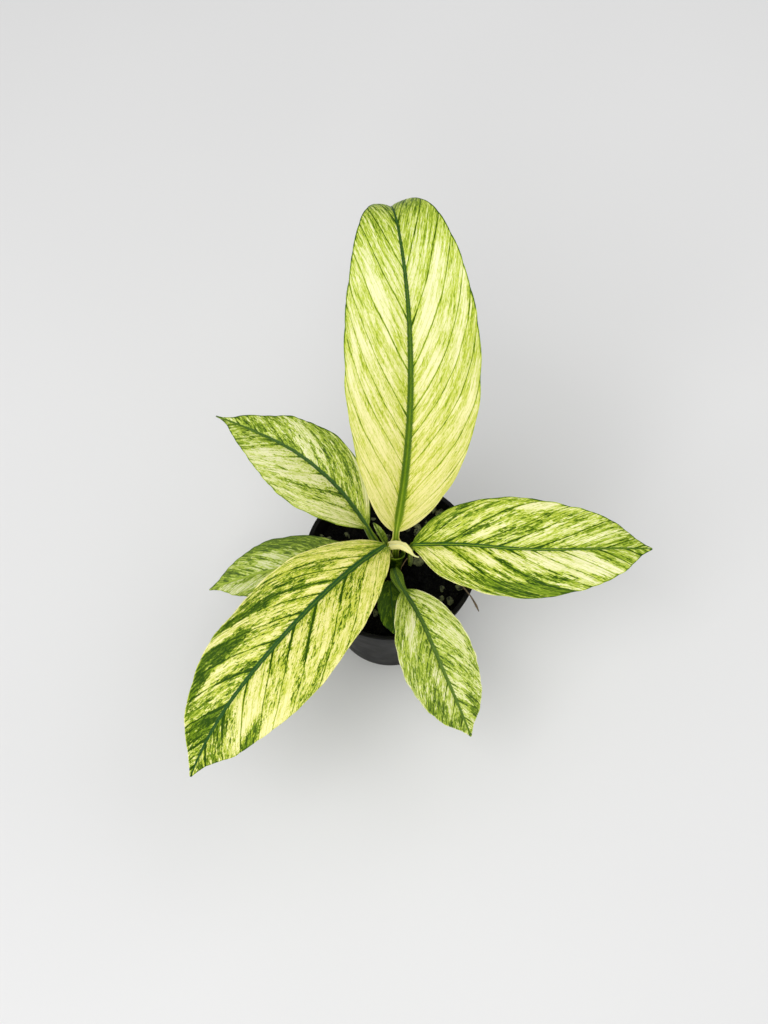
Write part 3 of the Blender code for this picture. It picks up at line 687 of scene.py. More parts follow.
def streak_level(tree, vein, shift, layers):
    """Streaks along the side veins, as a sum of stretched patterns with mean 0 and spread about 1.

    Each layer is its width across the veins and length along them in millimetres, and its weight.
    A weight below zero asks for cells with sharp ends in place of soft noise.
    """
    total = 0.0
    for width, length, weight in layers:
        stretched = add(tree, "VectorMath", {0: vein, 1: (1 / width, 1 / length, 1.0)}, operation="MULTIPLY")
        moved = add(tree, "VectorMath", {0: stretched, 1: (shift, shift * 1.7, shift * 3.1)}, operation="ADD")
        if weight < 0:
            level = add(tree, "TexVoronoi", {"Vector": moved, "Scale": 1.0}).outputs["Color"]
        else:
            level = add(tree, "TexNoise", {"Vector": moved, "Scale": 1.0, "Detail": 1.0, "Roughness": 0.5})
        gain = -4.4 * weight if weight < 0 else 8.0 * weight
        scaled = add(tree, "Math", {0: level, 1: gain, 2: -0.5 * gain}, operation="MULTIPLY_ADD")
        total = add(tree, "Math", {0: scaled, 1: total}, operation="ADD")
    return total


def leaf_material(look):
    """Variegated leaf blade, grown, under a waxy cuticle.

    Pale and green tissue lie in crisp streaks along the side veins, one thin
    green layer over another, so the eye sees four tones from cream to deep
    green. Each strip between two veins has a tone of its own, and the veins
    are green lines that widen into wedges at the rib. Wax gives soft
    highlights, and light that enters the pale tissue comes out a little
    further on.
    """
    made, tree, shader = new_material(
        "variegated_leaf_satin_wax", IOR=1.43, Metallic=0.0, Specular_IOR_Level=0.14, Subsurface_Weight=0.1,
        Subsurface_Radius=(0.9, 1.0, 0.35), Subsurface_Scale=0.001)
    # What leaf_surface gives each point. vein: where its side vein left the rib, how far along that
    # vein it lies, and a seed. place: the distance from the margin, the margin line, dark or a painted
    # highlight, and 1 if underneath. tone: the veil, green and dark levels. tint: the yellow, the count
    # of veins and their strength. rib: the way across it in its half widths, its green and its painted
    # sheen stripe. strip: the wedges' reach, how far strips differ, and how far the leaf is greyed as
    # painted shade and sheen. cloud: how softly streaks end
    read = {key: add(tree, "Attribute", attribute_name=key).outputs["Vector"]
            for key in ("vein", "place", "tone", "tint", "rib", "strip", "cloud")}
    course, place, tone, tint, rib, strip, cloud = (
        add(tree, "SeparateXYZ", {0: vector}) for vector in read.values())

    # Streaks waver by 0.5 mm across the veins over 2 to 3 mm
    wave = add(tree, "TexNoise", {"Vector": read["vein"], "Scale": 0.4, "Detail": 2.0}).outputs["Color"]
    vein = add(tree, "VectorMath", {0: wave, 1: (1.4, 2.0, 0.0), 2: read["vein"]}, operation="MULTIPLY_ADD")

    # Count of main veins from the base, which wanders by 0.07 over 12 mm, and a tone for each
    # quarter of a strip
    wander = add(tree, "TexNoise", {"Vector": read["vein"], "Scale": 0.08, "Detail": 1.0})
    count = add(tree, "Math", {0: wander, 1: 0.16, 2: tint.outputs[1]}, operation="MULTIPLY_ADD")
    count = add(tree, "Math", {0: count, 1: 0.08}, operation="SUBTRACT")
    quarters = add(tree, "Math", {0: count, 1: 4.0}, operation="MULTIPLY")
    number = add(tree, "Math", {0: quarters}, operation="FLOOR")
    seed = add(tree, "Math", {0: number, 1: 3.37, 2: course.outputs[2]}, operation="MULTIPLY_ADD")
    drawn = add(tree, "TexWhiteNoise", {"W": seed}, noise_dimensions="1D").outputs["Value"]
    strip_tone = add(tree, "Math", {0: drawn, 1: 0.5}, operation="SUBTRACT")
    strip_tone = add(tree, "Math", {0: strip_tone, 1: strip.outputs[1]}, operation="MULTIPLY")

    # A soft lime veil on the pale tissue, stippled along the veins, with bare blocks 2 to 3 mm wide
    veil = add(tree, "Math", {
        0: streak_level(tree, vein, 23.9, ((5.0, 11.0, 0.45), (2.4, 7.0, -0.45), (0.8, 1.2, 0.5))),
        1: tone.outputs[0]}, operation="ADD")
    veil = add(tree, "Math", {0: veil, 1: strip_tone}, operation="ADD")
    blade = add(tree, "MapRange", {
        "Value": veil, "From Min": -1.0, "From Max": 1.3, "To Min": 0.0, "To Max": 0.4})

    # Two layers of green over it, each a threshold on its own flecks, about 1 mm wide and 3 mm long
    above = add(tree, "Math", {0: cloud.outputs[0], 1: 0.6}, operation="ADD")
    below = add(tree, "Math", {0: above, 1: -1.0}, operation="MULTIPLY")
    layers = []
    for shift, widths, level in (
        (3.1, ((4.5, 14.0, 0.35), (1.9, 4.2, 0.5), (1.7, 3.2, -0.5), (0.8, 1.2, 0.55)), tone.outputs[1]),
        (11.7, ((5.0, 16.0, 0.35), (1.7, 4.6, 0.5), (1.6, 3.4, -0.5), (0.8, 1.3, 0.55)), tone.outputs[2]),
    ):
        total = add(tree, "Math", {0: streak_level(tree, vein, shift, widths), 1: level}, operation="ADD")
        total = add(tree, "Math", {0: total, 1: strip_tone}, operation="ADD")
        layers.append(add(tree, "MapRange", {
            "Value": total, "From Min": below, "From Max": above}, interpolation_type="SMOOTHSTEP"))
    both = add(tree, "Math", {0: layers[0], 1: layers[1]}, operation="MULTIPLY")
    blade = add(tree, "Math", {0: layers[0], 1: 0.32, 2: blade}, operation="MULTIPLY_ADD")
    blade = add(tree, "Math", {0: both, 1: 0.35, 2: blade}, operation="MULTIPLY_ADD")

    # Clouds about 3 mm across, in which the green is a fifth thinner or thicker
    drift = add(tree, "TexNoise", {"Vector": vein, "Scale": 0.3, "Detail": 3.0, "Roughness": 0.6})
    thicker = add(tree, "MapRange", {
        "Value": drift, "From Min": 0.3, "From Max": 0.7, "To Min": 0.78, "To Max": 1.12})
    blade = add(tree, "Math", {0: blade, 1: thicker}, operation="MULTIPLY")

    # Main side veins: green lines about 0.7 mm wide, each with a wedge at the rib of its own length
    nearest = add(tree, "Math", {0: count}, operation="ROUND")
    seed = add(tree, "Math", {0: nearest, 1: 7.13, 2: course.outputs[2]}, operation="MULTIPLY_ADD")
    drawn = add(tree, "TexWhiteNoise", {"W": seed}, noise_dimensions="1D").outputs["Value"]
    own = add(tree, "Math", {0: drawn, 1: 0.6}, operation="ADD")
    reach = add(tree, "Math", {0: own, 1: strip.outputs[0]}, operation="MULTIPLY")
    wedge = add(tree, "MapRange", {
        "Value": course.outputs[1], "From Min": 0.0, "From Max": reach, "To Min": 1.0, "To Max": 0.0})
    ragged = add(tree, "TexNoise", {"Vector": vein, "Scale": 1.1, "Detail": 3.0, "Roughness": 0.65})
    off_vein = add(tree, "Math", {0: count, 1: 0.5}, operation="PINGPONG")
    rough = add(tree, "Math", {0: wedge, 1: 0.06, 2: 0.015}, operation="MULTIPLY_ADD")
    off_vein = add(tree, "Math", {0: ragged, 1: rough, 2: off_vein}, operation="MULTIPLY_ADD")
    width = add(tree, "Math", {0: wedge, 1: 0.1, 2: 0.062}, operation="MULTIPLY_ADD")
    line = add(tree, "MapRange", {
        "Value": off_vein, "From Min": 0.01, "From Max": width, "To Min": 1.0, "To Max": 0.0},
        interpolation_type="SMOOTHSTEP")
    strength = add(tree, "Math", {0: wedge, 1: 0.8, 2: tint.outputs[2]}, operation="MULTIPLY_ADD")
    blade = add(tree, "Math", {0: line, 1: strength, 2: blade}, operation="MULTIPLY_ADD")

    # Fainter veins at each quarter between them
    off_thin = add(tree, "Math", {0: quarters, 1: 0.5}, operation="PINGPONG")
    thin = add(tree, "MapRange", {
        "Value": off_thin, "From Min": 0.03, "From Max": 0.13, "To Min": 0.4, "To Max": 0.0},
        interpolation_type="SMOOTHSTEP")
    blade = add(tree, "Math", {0: thin, 1: tint.outputs[2], 2: blade}, operation="MULTIPLY_ADD")

    # Margin line: the outermost 0.5 mm, darker than the blade where the margin has its own dark line, or
    # paler as a painted highlight along the edge
    at_margin = add(tree, "MapRange", {
        "Value": place.outputs[0], "From Min": 0.3, "From Max": 0.8, "To Min": 1.0, "To Max": 0.0},
        interpolation_type="SMOOTHSTEP")
    edge = add(tree, "Math", {0: at_margin, 1: place.outputs[1]}, operation="MULTIPLY")
    blade = add(tree, "Math", {0: edge, 1: 0.7, 2: blade}, operation="MULTIPLY_ADD")

    # Midrib, ragged at its edges, cloudy, with a painted sheen along its middle as a paler band
    off_rib = add(tree, "Math", {0: rib.outputs[0]}, operation="ABSOLUTE")
    rough_edge = add(tree, "Math", {0: ragged, 1: 1.2, 2: off_rib}, operation="MULTIPLY_ADD")
    on_rib = add(tree, "MapRange", {
        "Value": rough_edge, "From Min": 1.35, "From Max": 1.75, "To Min": 1.0, "To Max": 0.0},
        interpolation_type="SMOOTHSTEP")
    rib_sheen_band = add(tree, "MapRange", {
        "Value": off_rib, "From Min": 0.0, "From Max": 0.45, "To Min": 1.0, "To Max": 0.0},
        interpolation_type="SMOOTHSTEP")
    pale = add(tree, "Math", {0: rib_sheen_band, 1: rib.outputs[2]}, operation="MULTIPLY")
    rib_green = add(tree, "Math", {0: rib.outputs[1], 1: pale}, operation="SUBTRACT")
    rib_green = add(tree, "Math", {0: ragged, 1: 0.5, 2: rib_green}, operation="MULTIPLY_ADD")
    rib_green = add(tree, "Math", {0: rib_green, 1: 0.25}, operation="SUBTRACT")

    stops = [(0.38, look.lime), (0.68, look.green), (1.0, look.deep)]
    fresh = add(tree, "ValToRGB", {"Fac": blade}, [(0.0, look.cream), *stops])
    buttery = add(tree, "ValToRGB", {"Fac": blade}, [(0.0, look.yellow), (0.38, look.olive), *stops[1:]])
    painted = add(tree, "Mix", {"Factor": tint.outputs[0], "A": fresh, "B": buttery}, data_type="RGBA")
    rib_tint = add(tree, "ValToRGB", {"Fac": rib_green}, [(0.0, look.cream), *stops[:2], (1.0, look.rib)])
    painted = add(tree, "Mix", {"Factor": on_rib, "A": painted, "B": rib_tint}, data_type="RGBA")

    # Painted shade and sheen: leaves that lie in shade or under a dull sheen are mixed towards a grey green
    # by their dull share, and every leaf is paler and greyer underneath
    painted = add(tree, "Mix", {
        "Factor": strip.outputs[2], "A": painted, "B": (*linear(SHADE_SHEEN_GREY), 1.0)}, data_type="RGBA")
    greyed = add(tree, "Mix", {
        "Factor": 0.25, "A": painted, "B": (*linear(LEAF_UNDERSIDE), 1.0)}, data_type="RGBA")
    under = add(tree, "Mix", {"Factor": place.outputs[2], "A": painted, "B": greyed}, data_type="RGBA")
    feed(shader.inputs["Base Color"], under)

    # Wax, uneven over 1.7 mm and thinner underneath
    mottled = add(tree, "TexNoise", {"Vector": vein, "Scale": 0.6, "Detail": 2.0})
    gloss = add(tree, "MapRange", {
        "Value": mottled, "From Min": 0.2, "From Max": 0.8, "To Min": 0.3, "To Max": 0.44})
    gloss = add(tree, "Math", {0: place.outputs[2], 1: 0.2, 2: gloss}, operation="MULTIPLY_ADD")
    feed(shader.inputs["Roughness"], gloss)

    # Fine parallel veins about 0.7 mm apart, and a grain of cells drawn coarse enough to show
    fine = streak_level(tree, vein, 41.3, ((0.7, 9.0, 0.8), (0.35, 0.8, 0.35)))
    bump = add(tree, "Bump", {"Height": fine, "Strength": 0.4, "Distance": 0.00015})
    feed(shader.inputs["Normal"], bump)
    return made


def direction(heading, pitch):
    """Unit vectors for headings and pitches in degrees."""
    heading, pitch = np.radians(heading), np.radians(pitch)
    level = np.cos(pitch)
    return np.stack([level * np.cos(heading), level * np.sin(heading), np.sin(pitch)], axis=-1)


def blade_line(leaf, share):
    """Middle line of the blade: its heading and pitch summed along its length."""
    fine = np.linspace(0, 1, LINE_POINTS)
    way = direction(along(leaf.heading, fine), along(leaf.pitch, fine))
    steps = 0.5 * (way[1:] + way[:-1]) * leaf.length / (LINE_POINTS - 1)
    line = np.vstack([np.zeros(3), np.cumsum(steps, axis=0)]) + leaf.start
    return [np.stack([np.interp(share, fine, table[:, k]) for k in range(3)], axis=-1)
            for table in (line, way)]


def stalk_line(leaf, share):
    """Middle line of the stalk: a cubic Bezier curve, straight up at the foot and into the blade."""
    foot, start = np.array([*leaf.foot, FOOT_LEVEL]), np.array(leaf.start)
    span = np.linalg.norm(start - foot)
    into = direction(leaf.heading[0], leaf.lift)
    knots = (foot, foot + (0, 0, leaf.rise * span), start - leaf.reach * span * into, start)
    s = share[:, None]
    weights = ((1 - s) ** 3, 3 * s * (1 - s) ** 2, 3 * s ** 2 * (1 - s), s ** 3)
    slopes = (-3 * (1 - s) ** 2, 3 * (1 - s) * (1 - 3 * s), 3 * s * (2 - 3 * s), 3 * s ** 2)
    line = sum(weight * knot for weight, knot in zip(weights, knots))
    way = sum(slope * knot for slope, knot in zip(slopes, knots))
    return line, way / np.linalg.norm(way, axis=1)[:, None]


def outline(leaf, share):
    """Half width as a share of the widest: a rise to the fullest point, then a taper."""
    fall = leaf.fullness * (1 - leaf.fullest) / leaf.fullest
    share = np.clip(share, 1e-6, 1 - 1e-6)
    return (share / leaf.fullest) ** leaf.fullness * ((1 - share) / (1 - leaf.fullest)) ** fall


def leaf_frame(leaf, stalk_share, blade_share):
    """Middle line of the whole leaf, with the directions to its right and above it."""
    stalk_points, stalk_way = stalk_line(leaf, stalk_share)
    blade_points, blade_way = blade_line(leaf, blade_share)
    line, way = np.vstack([stalk_points, blade_points]), np.vstack([stalk_way, blade_way])
    level = direction(np.mean(leaf.heading) - 90, 0)
    side = level - (way @ level)[:, None] * way
    side /= np.linalg.norm(side, axis=1)[:, None]
    above = np.cross(side, way)
    on_blade = np.concatenate([np.zeros(len(stalk_share)), blade_share])
    roll = np.radians(along(leaf.roll, on_blade))[:, None]
    side = side * np.cos(roll) + above * np.sin(roll)
    return line, side, np.cross(side, way)


def level_of(share):
    """Threshold for a share of a noise with spread 1: 0.6 times the log of the share over the rest."""
    share = np.clip(share, 0.004, 0.996)
    return 0.6 * np.log(share / (1 - share))


def half_tones(leaf, half, share, edgeward, way_out, start, off_rib, stem, winged):
    """What the material reads on one half of a blade, as nine values at each point.

    They are its veil, green and dark levels, its yellow, its margin line, its count of veins, their
    strength, the reach of their wedges, and how far strips differ. Green runs from beside the rib to
    the margin in proportion, and each patch lays its own shares over that. Green spreads from the rib
    as a bell curve that fades towards the tip. The count runs in proportion between one main vein and
    the next.
    """
    green = along(half.green, share) * (1 - edgeward) + along(half.margin, share) * edgeward
    dark = along(half.dark, share)
    veil = along(half.veil, share)
    for begins, ends, near, far, its_green, its_dark in half.patches:
        fade = min(PATCH_FADE / leaf.length, 0.4 * (ends - begins))
        weight = smooth((start - begins + fade) / (2 * fade)) * smooth((ends - start + fade) / (2 * fade))
        weight = weight * smooth((way_out - near + PATCH_EDGE / 2) / PATCH_EDGE)
        weight = weight * smooth((far - way_out + PATCH_EDGE / 2) / PATCH_EDGE)
        green = green + weight * (0.03 + 0.95 * its_green - green)
        dark = dark + weight * (its_dark - dark)
        veil = veil + weight * (np.clip(0.15 + 1.15 * its_green, 0.1, 0.7) - veil)
    skirt = np.exp(-(off_rib / half.skirt) ** 2) * np.exp(-2.5 * share)
    green = green + skirt * (0.9 - green)
    dark = dark + skirt * (0.35 - dark)
    middle, wings, stalk_dark = leaf.stalk_tone
    green = green + stem * (middle + (wings - middle) * winged * smooth((edgeward - 0.3) / 0.5) - green)
    dark = dark + stem * (stalk_dark - dark)
    veins = np.array(half.veins)
    spacing = np.diff(veins).mean()
    ends = [veins[0] - 5 * spacing, *veins, veins[-1] + 5 * spacing]
    count = np.interp(start, ends, [-5, *range(len(veins)), len(veins) + 4])
    return vectors(
        edgeward.shape, level_of(veil), level_of(green), level_of(dark), along(half.yellow, share),
        along(half.line, share), count, along(half.vein_line, share) * (1 - stem),
        half.flame / leaf.stretch * (1 - stem) + 0.01, half.strips * (1 - stem))


def leaf_surface(leaf, look, seed):
    """Rings of one leaf from its foot to its tip, with what its material reads at each point.

    The shape is the model's: a middle line, a width from the outline, halves
    folded up and bellied, and a rippled margin. On it come side veins sunk into
    the upper face, a groove over the rib, and a blade that thins to its margin.
    A side vein that leaves the rib at a share a of the length has reached share
    a + (p + q a) f when it is v of the way out, where p and q are its half's sweep, and
    f = (1 - bend) v + bend v³ + hook v⁸. v is the distance from the rib over the
    half width there, or past the fullest point over the widest half width.
    """
    step = look.step_along / MM
    stalk_share = np.linspace(0, 1, STALK_STEPS, endpoint=False)
    rows = int(leaf.length / step)
    blade_share = np.concatenate([np.linspace(0, 1, rows + 1)[:-1], 1 - np.array(TIP_ROWS) / rows])
    line, side, above = leaf_frame(leaf, stalk_share, blade_share)
    t = np.concatenate([np.zeros(STALK_STEPS), blade_share])[:, None]
    on_stalk = np.concatenate([stalk_share, np.ones(len(blade_share))])[:, None]

    stem = 1 - smooth(t / STALK_FADE)
    winged = np.exp(-((on_stalk - leaf.wing_at) / leaf.wing_spread) ** 2)
    wing = leaf.wing * winged * stem
    stem_half = leaf.stalk * (1 - t) ** STALK_THINNING + wing
    drip = leaf.drip * smooth((t - leaf.drip_from) / (1 - leaf.drip_from))
    shape = np.where(t > 0, outline(leaf, t), 0.0) * (1 - drip)
    drawn_in = np.exp(-(t / WAIST_REACH) ** 2)
    left, right = (half * shape * (1 - waist * drawn_in) + stem_half + TIP_HALF
                   for half, waist in zip((leaf.left, leaf.right), leaf.waist))
    ribs = np.clip(RIB_HALF / np.minimum(left, right), *RIB_SHARE)
    spread = np.linspace(0, 1, max(8, int(max(leaf.left, leaf.right) / (look.step_across / MM))) + 1)[1:]
    spread = 1 - (1 - spread) ** EDGE_CROWDING
    columns = np.hstack([ribs * np.array(RIB_COLUMNS), ribs + (1 - ribs) * spread])
    across = np.hstack([-columns[:, :0:-1], columns])
    u = np.abs(across)
    on_right = across > 0
    width = np.where(on_right, right, left)
    fold = np.radians(along(leaf.fold, t))

    widest = np.where(on_right, leaf.right, leaf.left) + TIP_HALF
    v = u * np.where(t > leaf.fullest, width / widest, 1.0)
    laws = ((*half.sweep, half.bend, half.hook) for half in leaf.halves)
    sweep, gain, bend, hook = (np.where(on_right, right_one, left_one) for left_one, right_one in zip(*laws))
    f = (1 - bend) * v + bend * v ** 3 + hook * v ** 8
    start = (t - sweep * f) / (1 + gain * f)
    origin = start * leaf.length
    stalk_length = np.linalg.norm(np.diff(line, axis=0), axis=1)[:STALK_STEPS].sum()
    course = np.hypot(u * width, t * leaf.length - origin) + (1 - on_stalk) * stalk_length

    winged = np.maximum(winged, on_stalk ** 12)
    tones = [half_tones(leaf, half, t, u, v, start, u * width, stem, winged) for half in leaf.halves]
    tones = np.where(on_right[..., None], tones[1], tones[0])
    off_vein = np.abs((tones[..., 5] + 0.5) % 1 - 0.5) * leaf.length * VEIN_SPACING
    sunk = look.quilt / MM * np.exp(-(off_vein / VEIN_WIDTH) ** 2) * (1 - stem) * smooth((1 - u) / VEIN_FADE)
    groove = GROOVE_DEPTH * np.exp(-(u * width / GROOVE_WIDTH) ** 2) * (1 - stem) * (1 - t)
    wave = np.sin(2 * np.pi * leaf.ripples * t + RIPPLE_LEAD * on_right)
    wave = wave * leaf.ripple * u ** 3 * np.sqrt(np.sin(np.pi * np.clip(t, 0, 1)))
    belly = BELLY * (1 - stem) * u * (1 - u)
    round_part = stem * leaf.depth * np.sqrt(np.clip(1 - u ** 2, 0, 1))
    notch = NOTCH_DEPTH / np.maximum(width, NARROWEST) * np.exp(-(off_vein / NOTCH_WIDTH) ** 2)
    notch = 1 - notch * u ** 6 * (1 - stem)
    short, long = (2 * np.pi * count * t for count in WAVER_COUNTS)
    waver = np.sin(short + seed + 2 * on_right) + np.sin(long + 2 * seed + on_right)
    waver = 1 + WAVER_DEPTH / np.maximum(width, NARROWEST) * waver * u ** 4 * np.sin(np.pi * t)
    out = across * width * np.cos(fold) * notch * waver
    top = width * (u * np.sin(fold) + belly) + wave + STALK_CROWNING * round_part - sunk - groove
    thick = look.thickness / MM * (1 - MARGIN_THINNING * u ** 4) * (1 - stem) + STALK_FLAT * stem
    depth = RIB_DEPTH * (1 - t) ** RIB_TAPER * min(1.0, leaf.left / FULL_RIB_WIDTH)
    rib_below = (1 - stem) * depth * np.sqrt(np.clip(1 - (u / ribs) ** 2, 0, 1))
    upper = line[:, None] + side[:, None] * out[..., None] + above[:, None] * top[..., None]
    lower = upper - above[:, None] * (thick + round_part + rib_below)[..., None]

    rib_half = (leaf.rib * (1 - t) ** leaf.rib_taper + RIB_LEAST) * (1 - RIB_NARROWING * stem)
    layers = {
        "vein": vectors(u.shape, origin, course / leaf.stretch, seed + HALF_SEED_STEP * on_right),
        "rib": vectors(
            u.shape, across * width / rib_half, along(leaf.rib_green, t), along(leaf.rib_sheen, t)),
        "tone": tones[..., :3],
        "tint": tones[..., [3, 5, 6]],
        "strip": vectors(u.shape, tones[..., 7], tones[..., 8], leaf.dull),
        "cloud": vectors(u.shape, leaf.soft, 0, 0),
        "place": vectors(u.shape, (1 - u) * width, tones[..., 4] * (1 - stem), 0.0),
    }
    rings = np.concatenate([upper, lower[:, ::-1]], axis=1)
    layers = {key: np.concatenate([value, value[:, ::-1]], axis=1) for key, value in layers.items()}
    layers["place"][:, upper.shape[1]:, 2] = 1.0
    return rings, layers


def grow_leaves(look):
    """Every leaf and bract as a fine closed surface over its node."""
    wax = leaf_material(look)
    for number, leaf in enumerate(LEAVES):
        rings, layers = leaf_surface(leaf, look, LEAF_SEED_STEP * number)
        add_shell("fine_" + leaf.name, rings, wax, [leaf.name], tones=layers)
    wrap_sheath(wax)


def wrap_sheath(wax):
    """Sheath round the young stalk: a profile carried round part of a circle.

    Its rim is highest in front and drops by the square of the turn from there.
    Its wall runs up outside, over the rim and down inside, thins with the cube
    of the height, and widens from foot radius to rim radius in its top third.
    """
    across, upward = SHEATH_STEPS
    share = np.linspace(0, 1, across)[:, None]
    up = np.linspace(0, 1, upward)
    turn = np.radians(SHEATH_FROM + SHEATH_SWEEP * share)
    rim = SHEATH_RIM_LEVEL - SHEATH_BACK_DROP * (2 * share - 1) ** 2
    bulge = SHEATH_FOOT_RADIUS + (SHEATH_RIM_RADIUS - SHEATH_FOOT_RADIUS) * smooth(3 * up - 2)
    thick = SHEATH_THICK * (1 - SHEATH_THINNING * up ** 3)
    climb = np.concatenate([up, up[::-1]])
    radius = np.concatenate([bulge, (bulge - thick)[::-1]]) + 0 * share
    level = FOOT_LEVEL + (rim - FOOT_LEVEL) * climb
    x, y = CROWN[0] + radius * np.cos(turn), CROWN[1] + radius * np.sin(turn)
    rings = np.stack([x, y, level], axis=-1)
    layers = {
        "vein": vectors(level.shape, share * SHEATH_UNROLLED, level, SHEATH_SEED),
        "rib": vectors(level.shape, OFF_RIB, 0, 0),
        "tone": vectors(level.shape, *SHEATH_LEVELS),
        "tint": vectors(level.shape, 0, share * SHEATH_VEINS, 0.1),
        "strip": vectors(level.shape, 0.01, 0.2, 0),
        "cloud": vectors(level.shape, 0.0, 0, 0),
        "place": vectors(level.shape, (1 - climb) * SHEATH_MARGIN, SHEATH_RIM_LINE, 0),
    }
    add_shell("fine_sheath_green", rings, wax, ["sheath_green"], tones=layers)


def wall_radius(height):
    """Outer radius of the tapered pot wall."""
    top = RIM_RADIUS - RIM_BAND_STEP
    return BASE_RADIUS + (top - BASE_RADIUS) * height / POT_HEIGHT


def corner(radius, height, size_of_round, start, end):
    """A rounded corner in a profile: part of a turn about a centre, as radius and height rows."""
    turn = np.radians(np.linspace(start, end, CORNER_STEPS))
    return [(radius + size_of_round * np.cos(a), height + size_of_round * np.sin(a)) for a in turn]


def turned(profile, sides, x=0.0, y=0.0):
    """Rings of a profile of radius and height rows turned about an upright line."""
    radius, height = np.array(profile).T[:, :, None]
    turn = np.linspace(0, 2 * np.pi, sides, endpoint=False)[None]
    return np.stack([x + radius * np.cos(turn), y + radius * np.sin(turn), height + 0 * turn], axis=-1)


def plastic_material(look):
    """Polypropylene with carbon black, injection moulded in a lightly blasted mould.

    The eye sees near black with one soft grey highlight along each edge, broken
    by a faint grain and a few dusty smears from potting.
    """
    made, tree, shader = new_material(
        "black_polypropylene_moulded", IOR=1.49, Metallic=0.0, Specular_IOR_Level=0.16)
    point = add(tree, "TexCoord").outputs["Object"]
    # Dust in smears about 11 mm long
    dust = add(tree, "TexNoise", {"Vector": point, "Scale": 90.0, "Detail": 5.0, "Roughness": 0.6})
    dusty = add(tree, "MapRange", {
        "Value": dust, "From Min": 0.5, "From Max": 0.8, "To Min": 0.0, "To Max": 0.14})
    tint = add(tree, "Mix", {
        "Factor": dusty, "A": (*look.plastic, 1.0), "B": (*linear(POTTING_DUST), 1.0)}, data_type="RGBA")
    feed(shader.inputs["Base Color"], tint)
    rough = add(tree, "MapRange", {
        "Value": dust, "From Min": 0.3, "From Max": 0.8, "To Min": 0.42, "To Max": 0.65})
    feed(shader.inputs["Roughness"], rough)
    # Mould grain, about 0.4 mm
    grain = add(tree, "TexNoise", {"Vector": point, "Scale": 2500.0, "Detail": 2.0})
    bump = add(tree, "Bump", {"Height": grain, "Strength": 0.15, "Distance": 0.00005})
    feed(shader.inputs["Normal"], bump)
    return made


def dress_pot(look):
    """Nursery pot turned from its profile with rounded edges, and round drain holes through its floor."""
    r = look.rim_round / MM
    band = POT_HEIGHT - RIM_BAND_HEIGHT
    under = band - RIM_BAND_STEP
    inner_top = RIM_RADIUS - RIM_THICK
    corner_out, corner_up = BAND_CORNER
    profile = [(MIDDLE_RING, 0.0), (BASE_RADIUS - BASE_CORNER_FROM, 0.0)]
    profile += corner(BASE_RADIUS - BASE_ROUND, BASE_ROUND, BASE_ROUND, -90, 0)
    profile += [(wall_radius(under), under), (wall_radius(under) + corner_out, under + corner_up)]
    profile += corner(wall_radius(band) + RIM_BAND_STEP - BAND_ROUND, band + BAND_ROUND, BAND_ROUND, -60, 0)
    profile += corner(RIM_RADIUS - r, POT_HEIGHT - r, r, 0, 90)
    profile += corner(inner_top + r, POT_HEIGHT - r, r, 90, 180)
    profile += [(inner_top, POT_HEIGHT - RIM_LIP), (wall_radius(band) - WALL, band),
                (wall_radius(FLOOR) - WALL, FLOOR), (MIDDLE_RING, FLOOR)]
    black = plastic_material(look)
    pot = add_shell("fine_pot", turned(profile, look.sides), black, ["pot"], crease=POT_CREASE)

    drills = bpy.data.meshes.new("drills")
    points, faces = [], []
    for turn in np.arange(DRAIN_HOLES) * 2 * np.pi / DRAIN_HOLES:
        x, y = DRAIN_RING * np.cos(turn), DRAIN_RING * np.sin(turn)
        drill = turned([(DRAIN_RADIUS, -DRILL_PAST), (DRAIN_RADIUS, FLOOR + DRILL_PAST)], DRILL_SIDES, x, y)
        squares, fans = skin(drill)
        base = len(points) * (2 * DRILL_SIDES + 2)
        faces += (squares + base).tolist() + (fans + base).tolist()
        points.append(with_poles(drill))
    drills.from_pydata((np.vstack(points) * MM).tolist(), [], faces)
    cutter = bpy.data.objects.new("drills", drills)
    bpy.context.scene.collection.objects.link(cutter)
    cut = pot.modifiers.new("drain holes", "BOOLEAN")
    cut.solver = "EXACT"
    cut.object = cutter
    whole = pot.data
    result = bpy.data.meshes.new_from_object(pot.evaluated_get(bpy.context.evaluated_depsgraph_get()))
    pot.modifiers.remove(cut)
    pot.data = result
    result.shade_smooth()
    result.set_sharp_from_angle(angle=np.radians(POT_CREASE))
    bpy.data.meshes.remove(whole)
    bpy.data.objects.remove(cutter, do_unlink=True)
    bpy.data.meshes.remove(drills)


def lumps():
    """Every pumice lump of the model as x, y and radius.

    The seen ones come first, then seeded ones, spread evenly over a disc and clear of the crown.
    """
    draw = np.random.default_rng(MIX_SEED)
    rows = list(SEEN_LUMPS)
    while len(rows) < len(SEEN_LUMPS) + MORE_LUMPS:
        reach, turn = LUMP_REACH * np.sqrt(draw.random()), 2 * np.pi * draw.random()
        x, y, radius = reach * np.cos(turn), reach * np.sin(turn), draw.uniform(*LUMP_RADIUS)
        if np.hypot(x - CROWN[0], y - CROWN[1]) > CROWN_RADIUS + LUMP_TO_HOLE:
            rows.append((x, y, radius))
    return np.array(rows)


def crumble(points, finest, coarsest, seed):
    """Rough height: sine waves in seeded directions, each as high as its length is long."""
    draw = np.random.default_rng(seed)
    length = np.geomspace(finest, coarsest, ROUGH_WAVES)
    turn, phase = draw.uniform(0, 2 * np.pi, (2, ROUGH_WAVES))
    way = points[..., :1] * np.cos(turn) + points[..., 1:2] * np.sin(turn)
    waves = np.sin(way * 2 * np.pi / length + phase)
    return (waves * length).sum(axis=-1) / length.sum() * np.sqrt(ROUGH_WAVES)


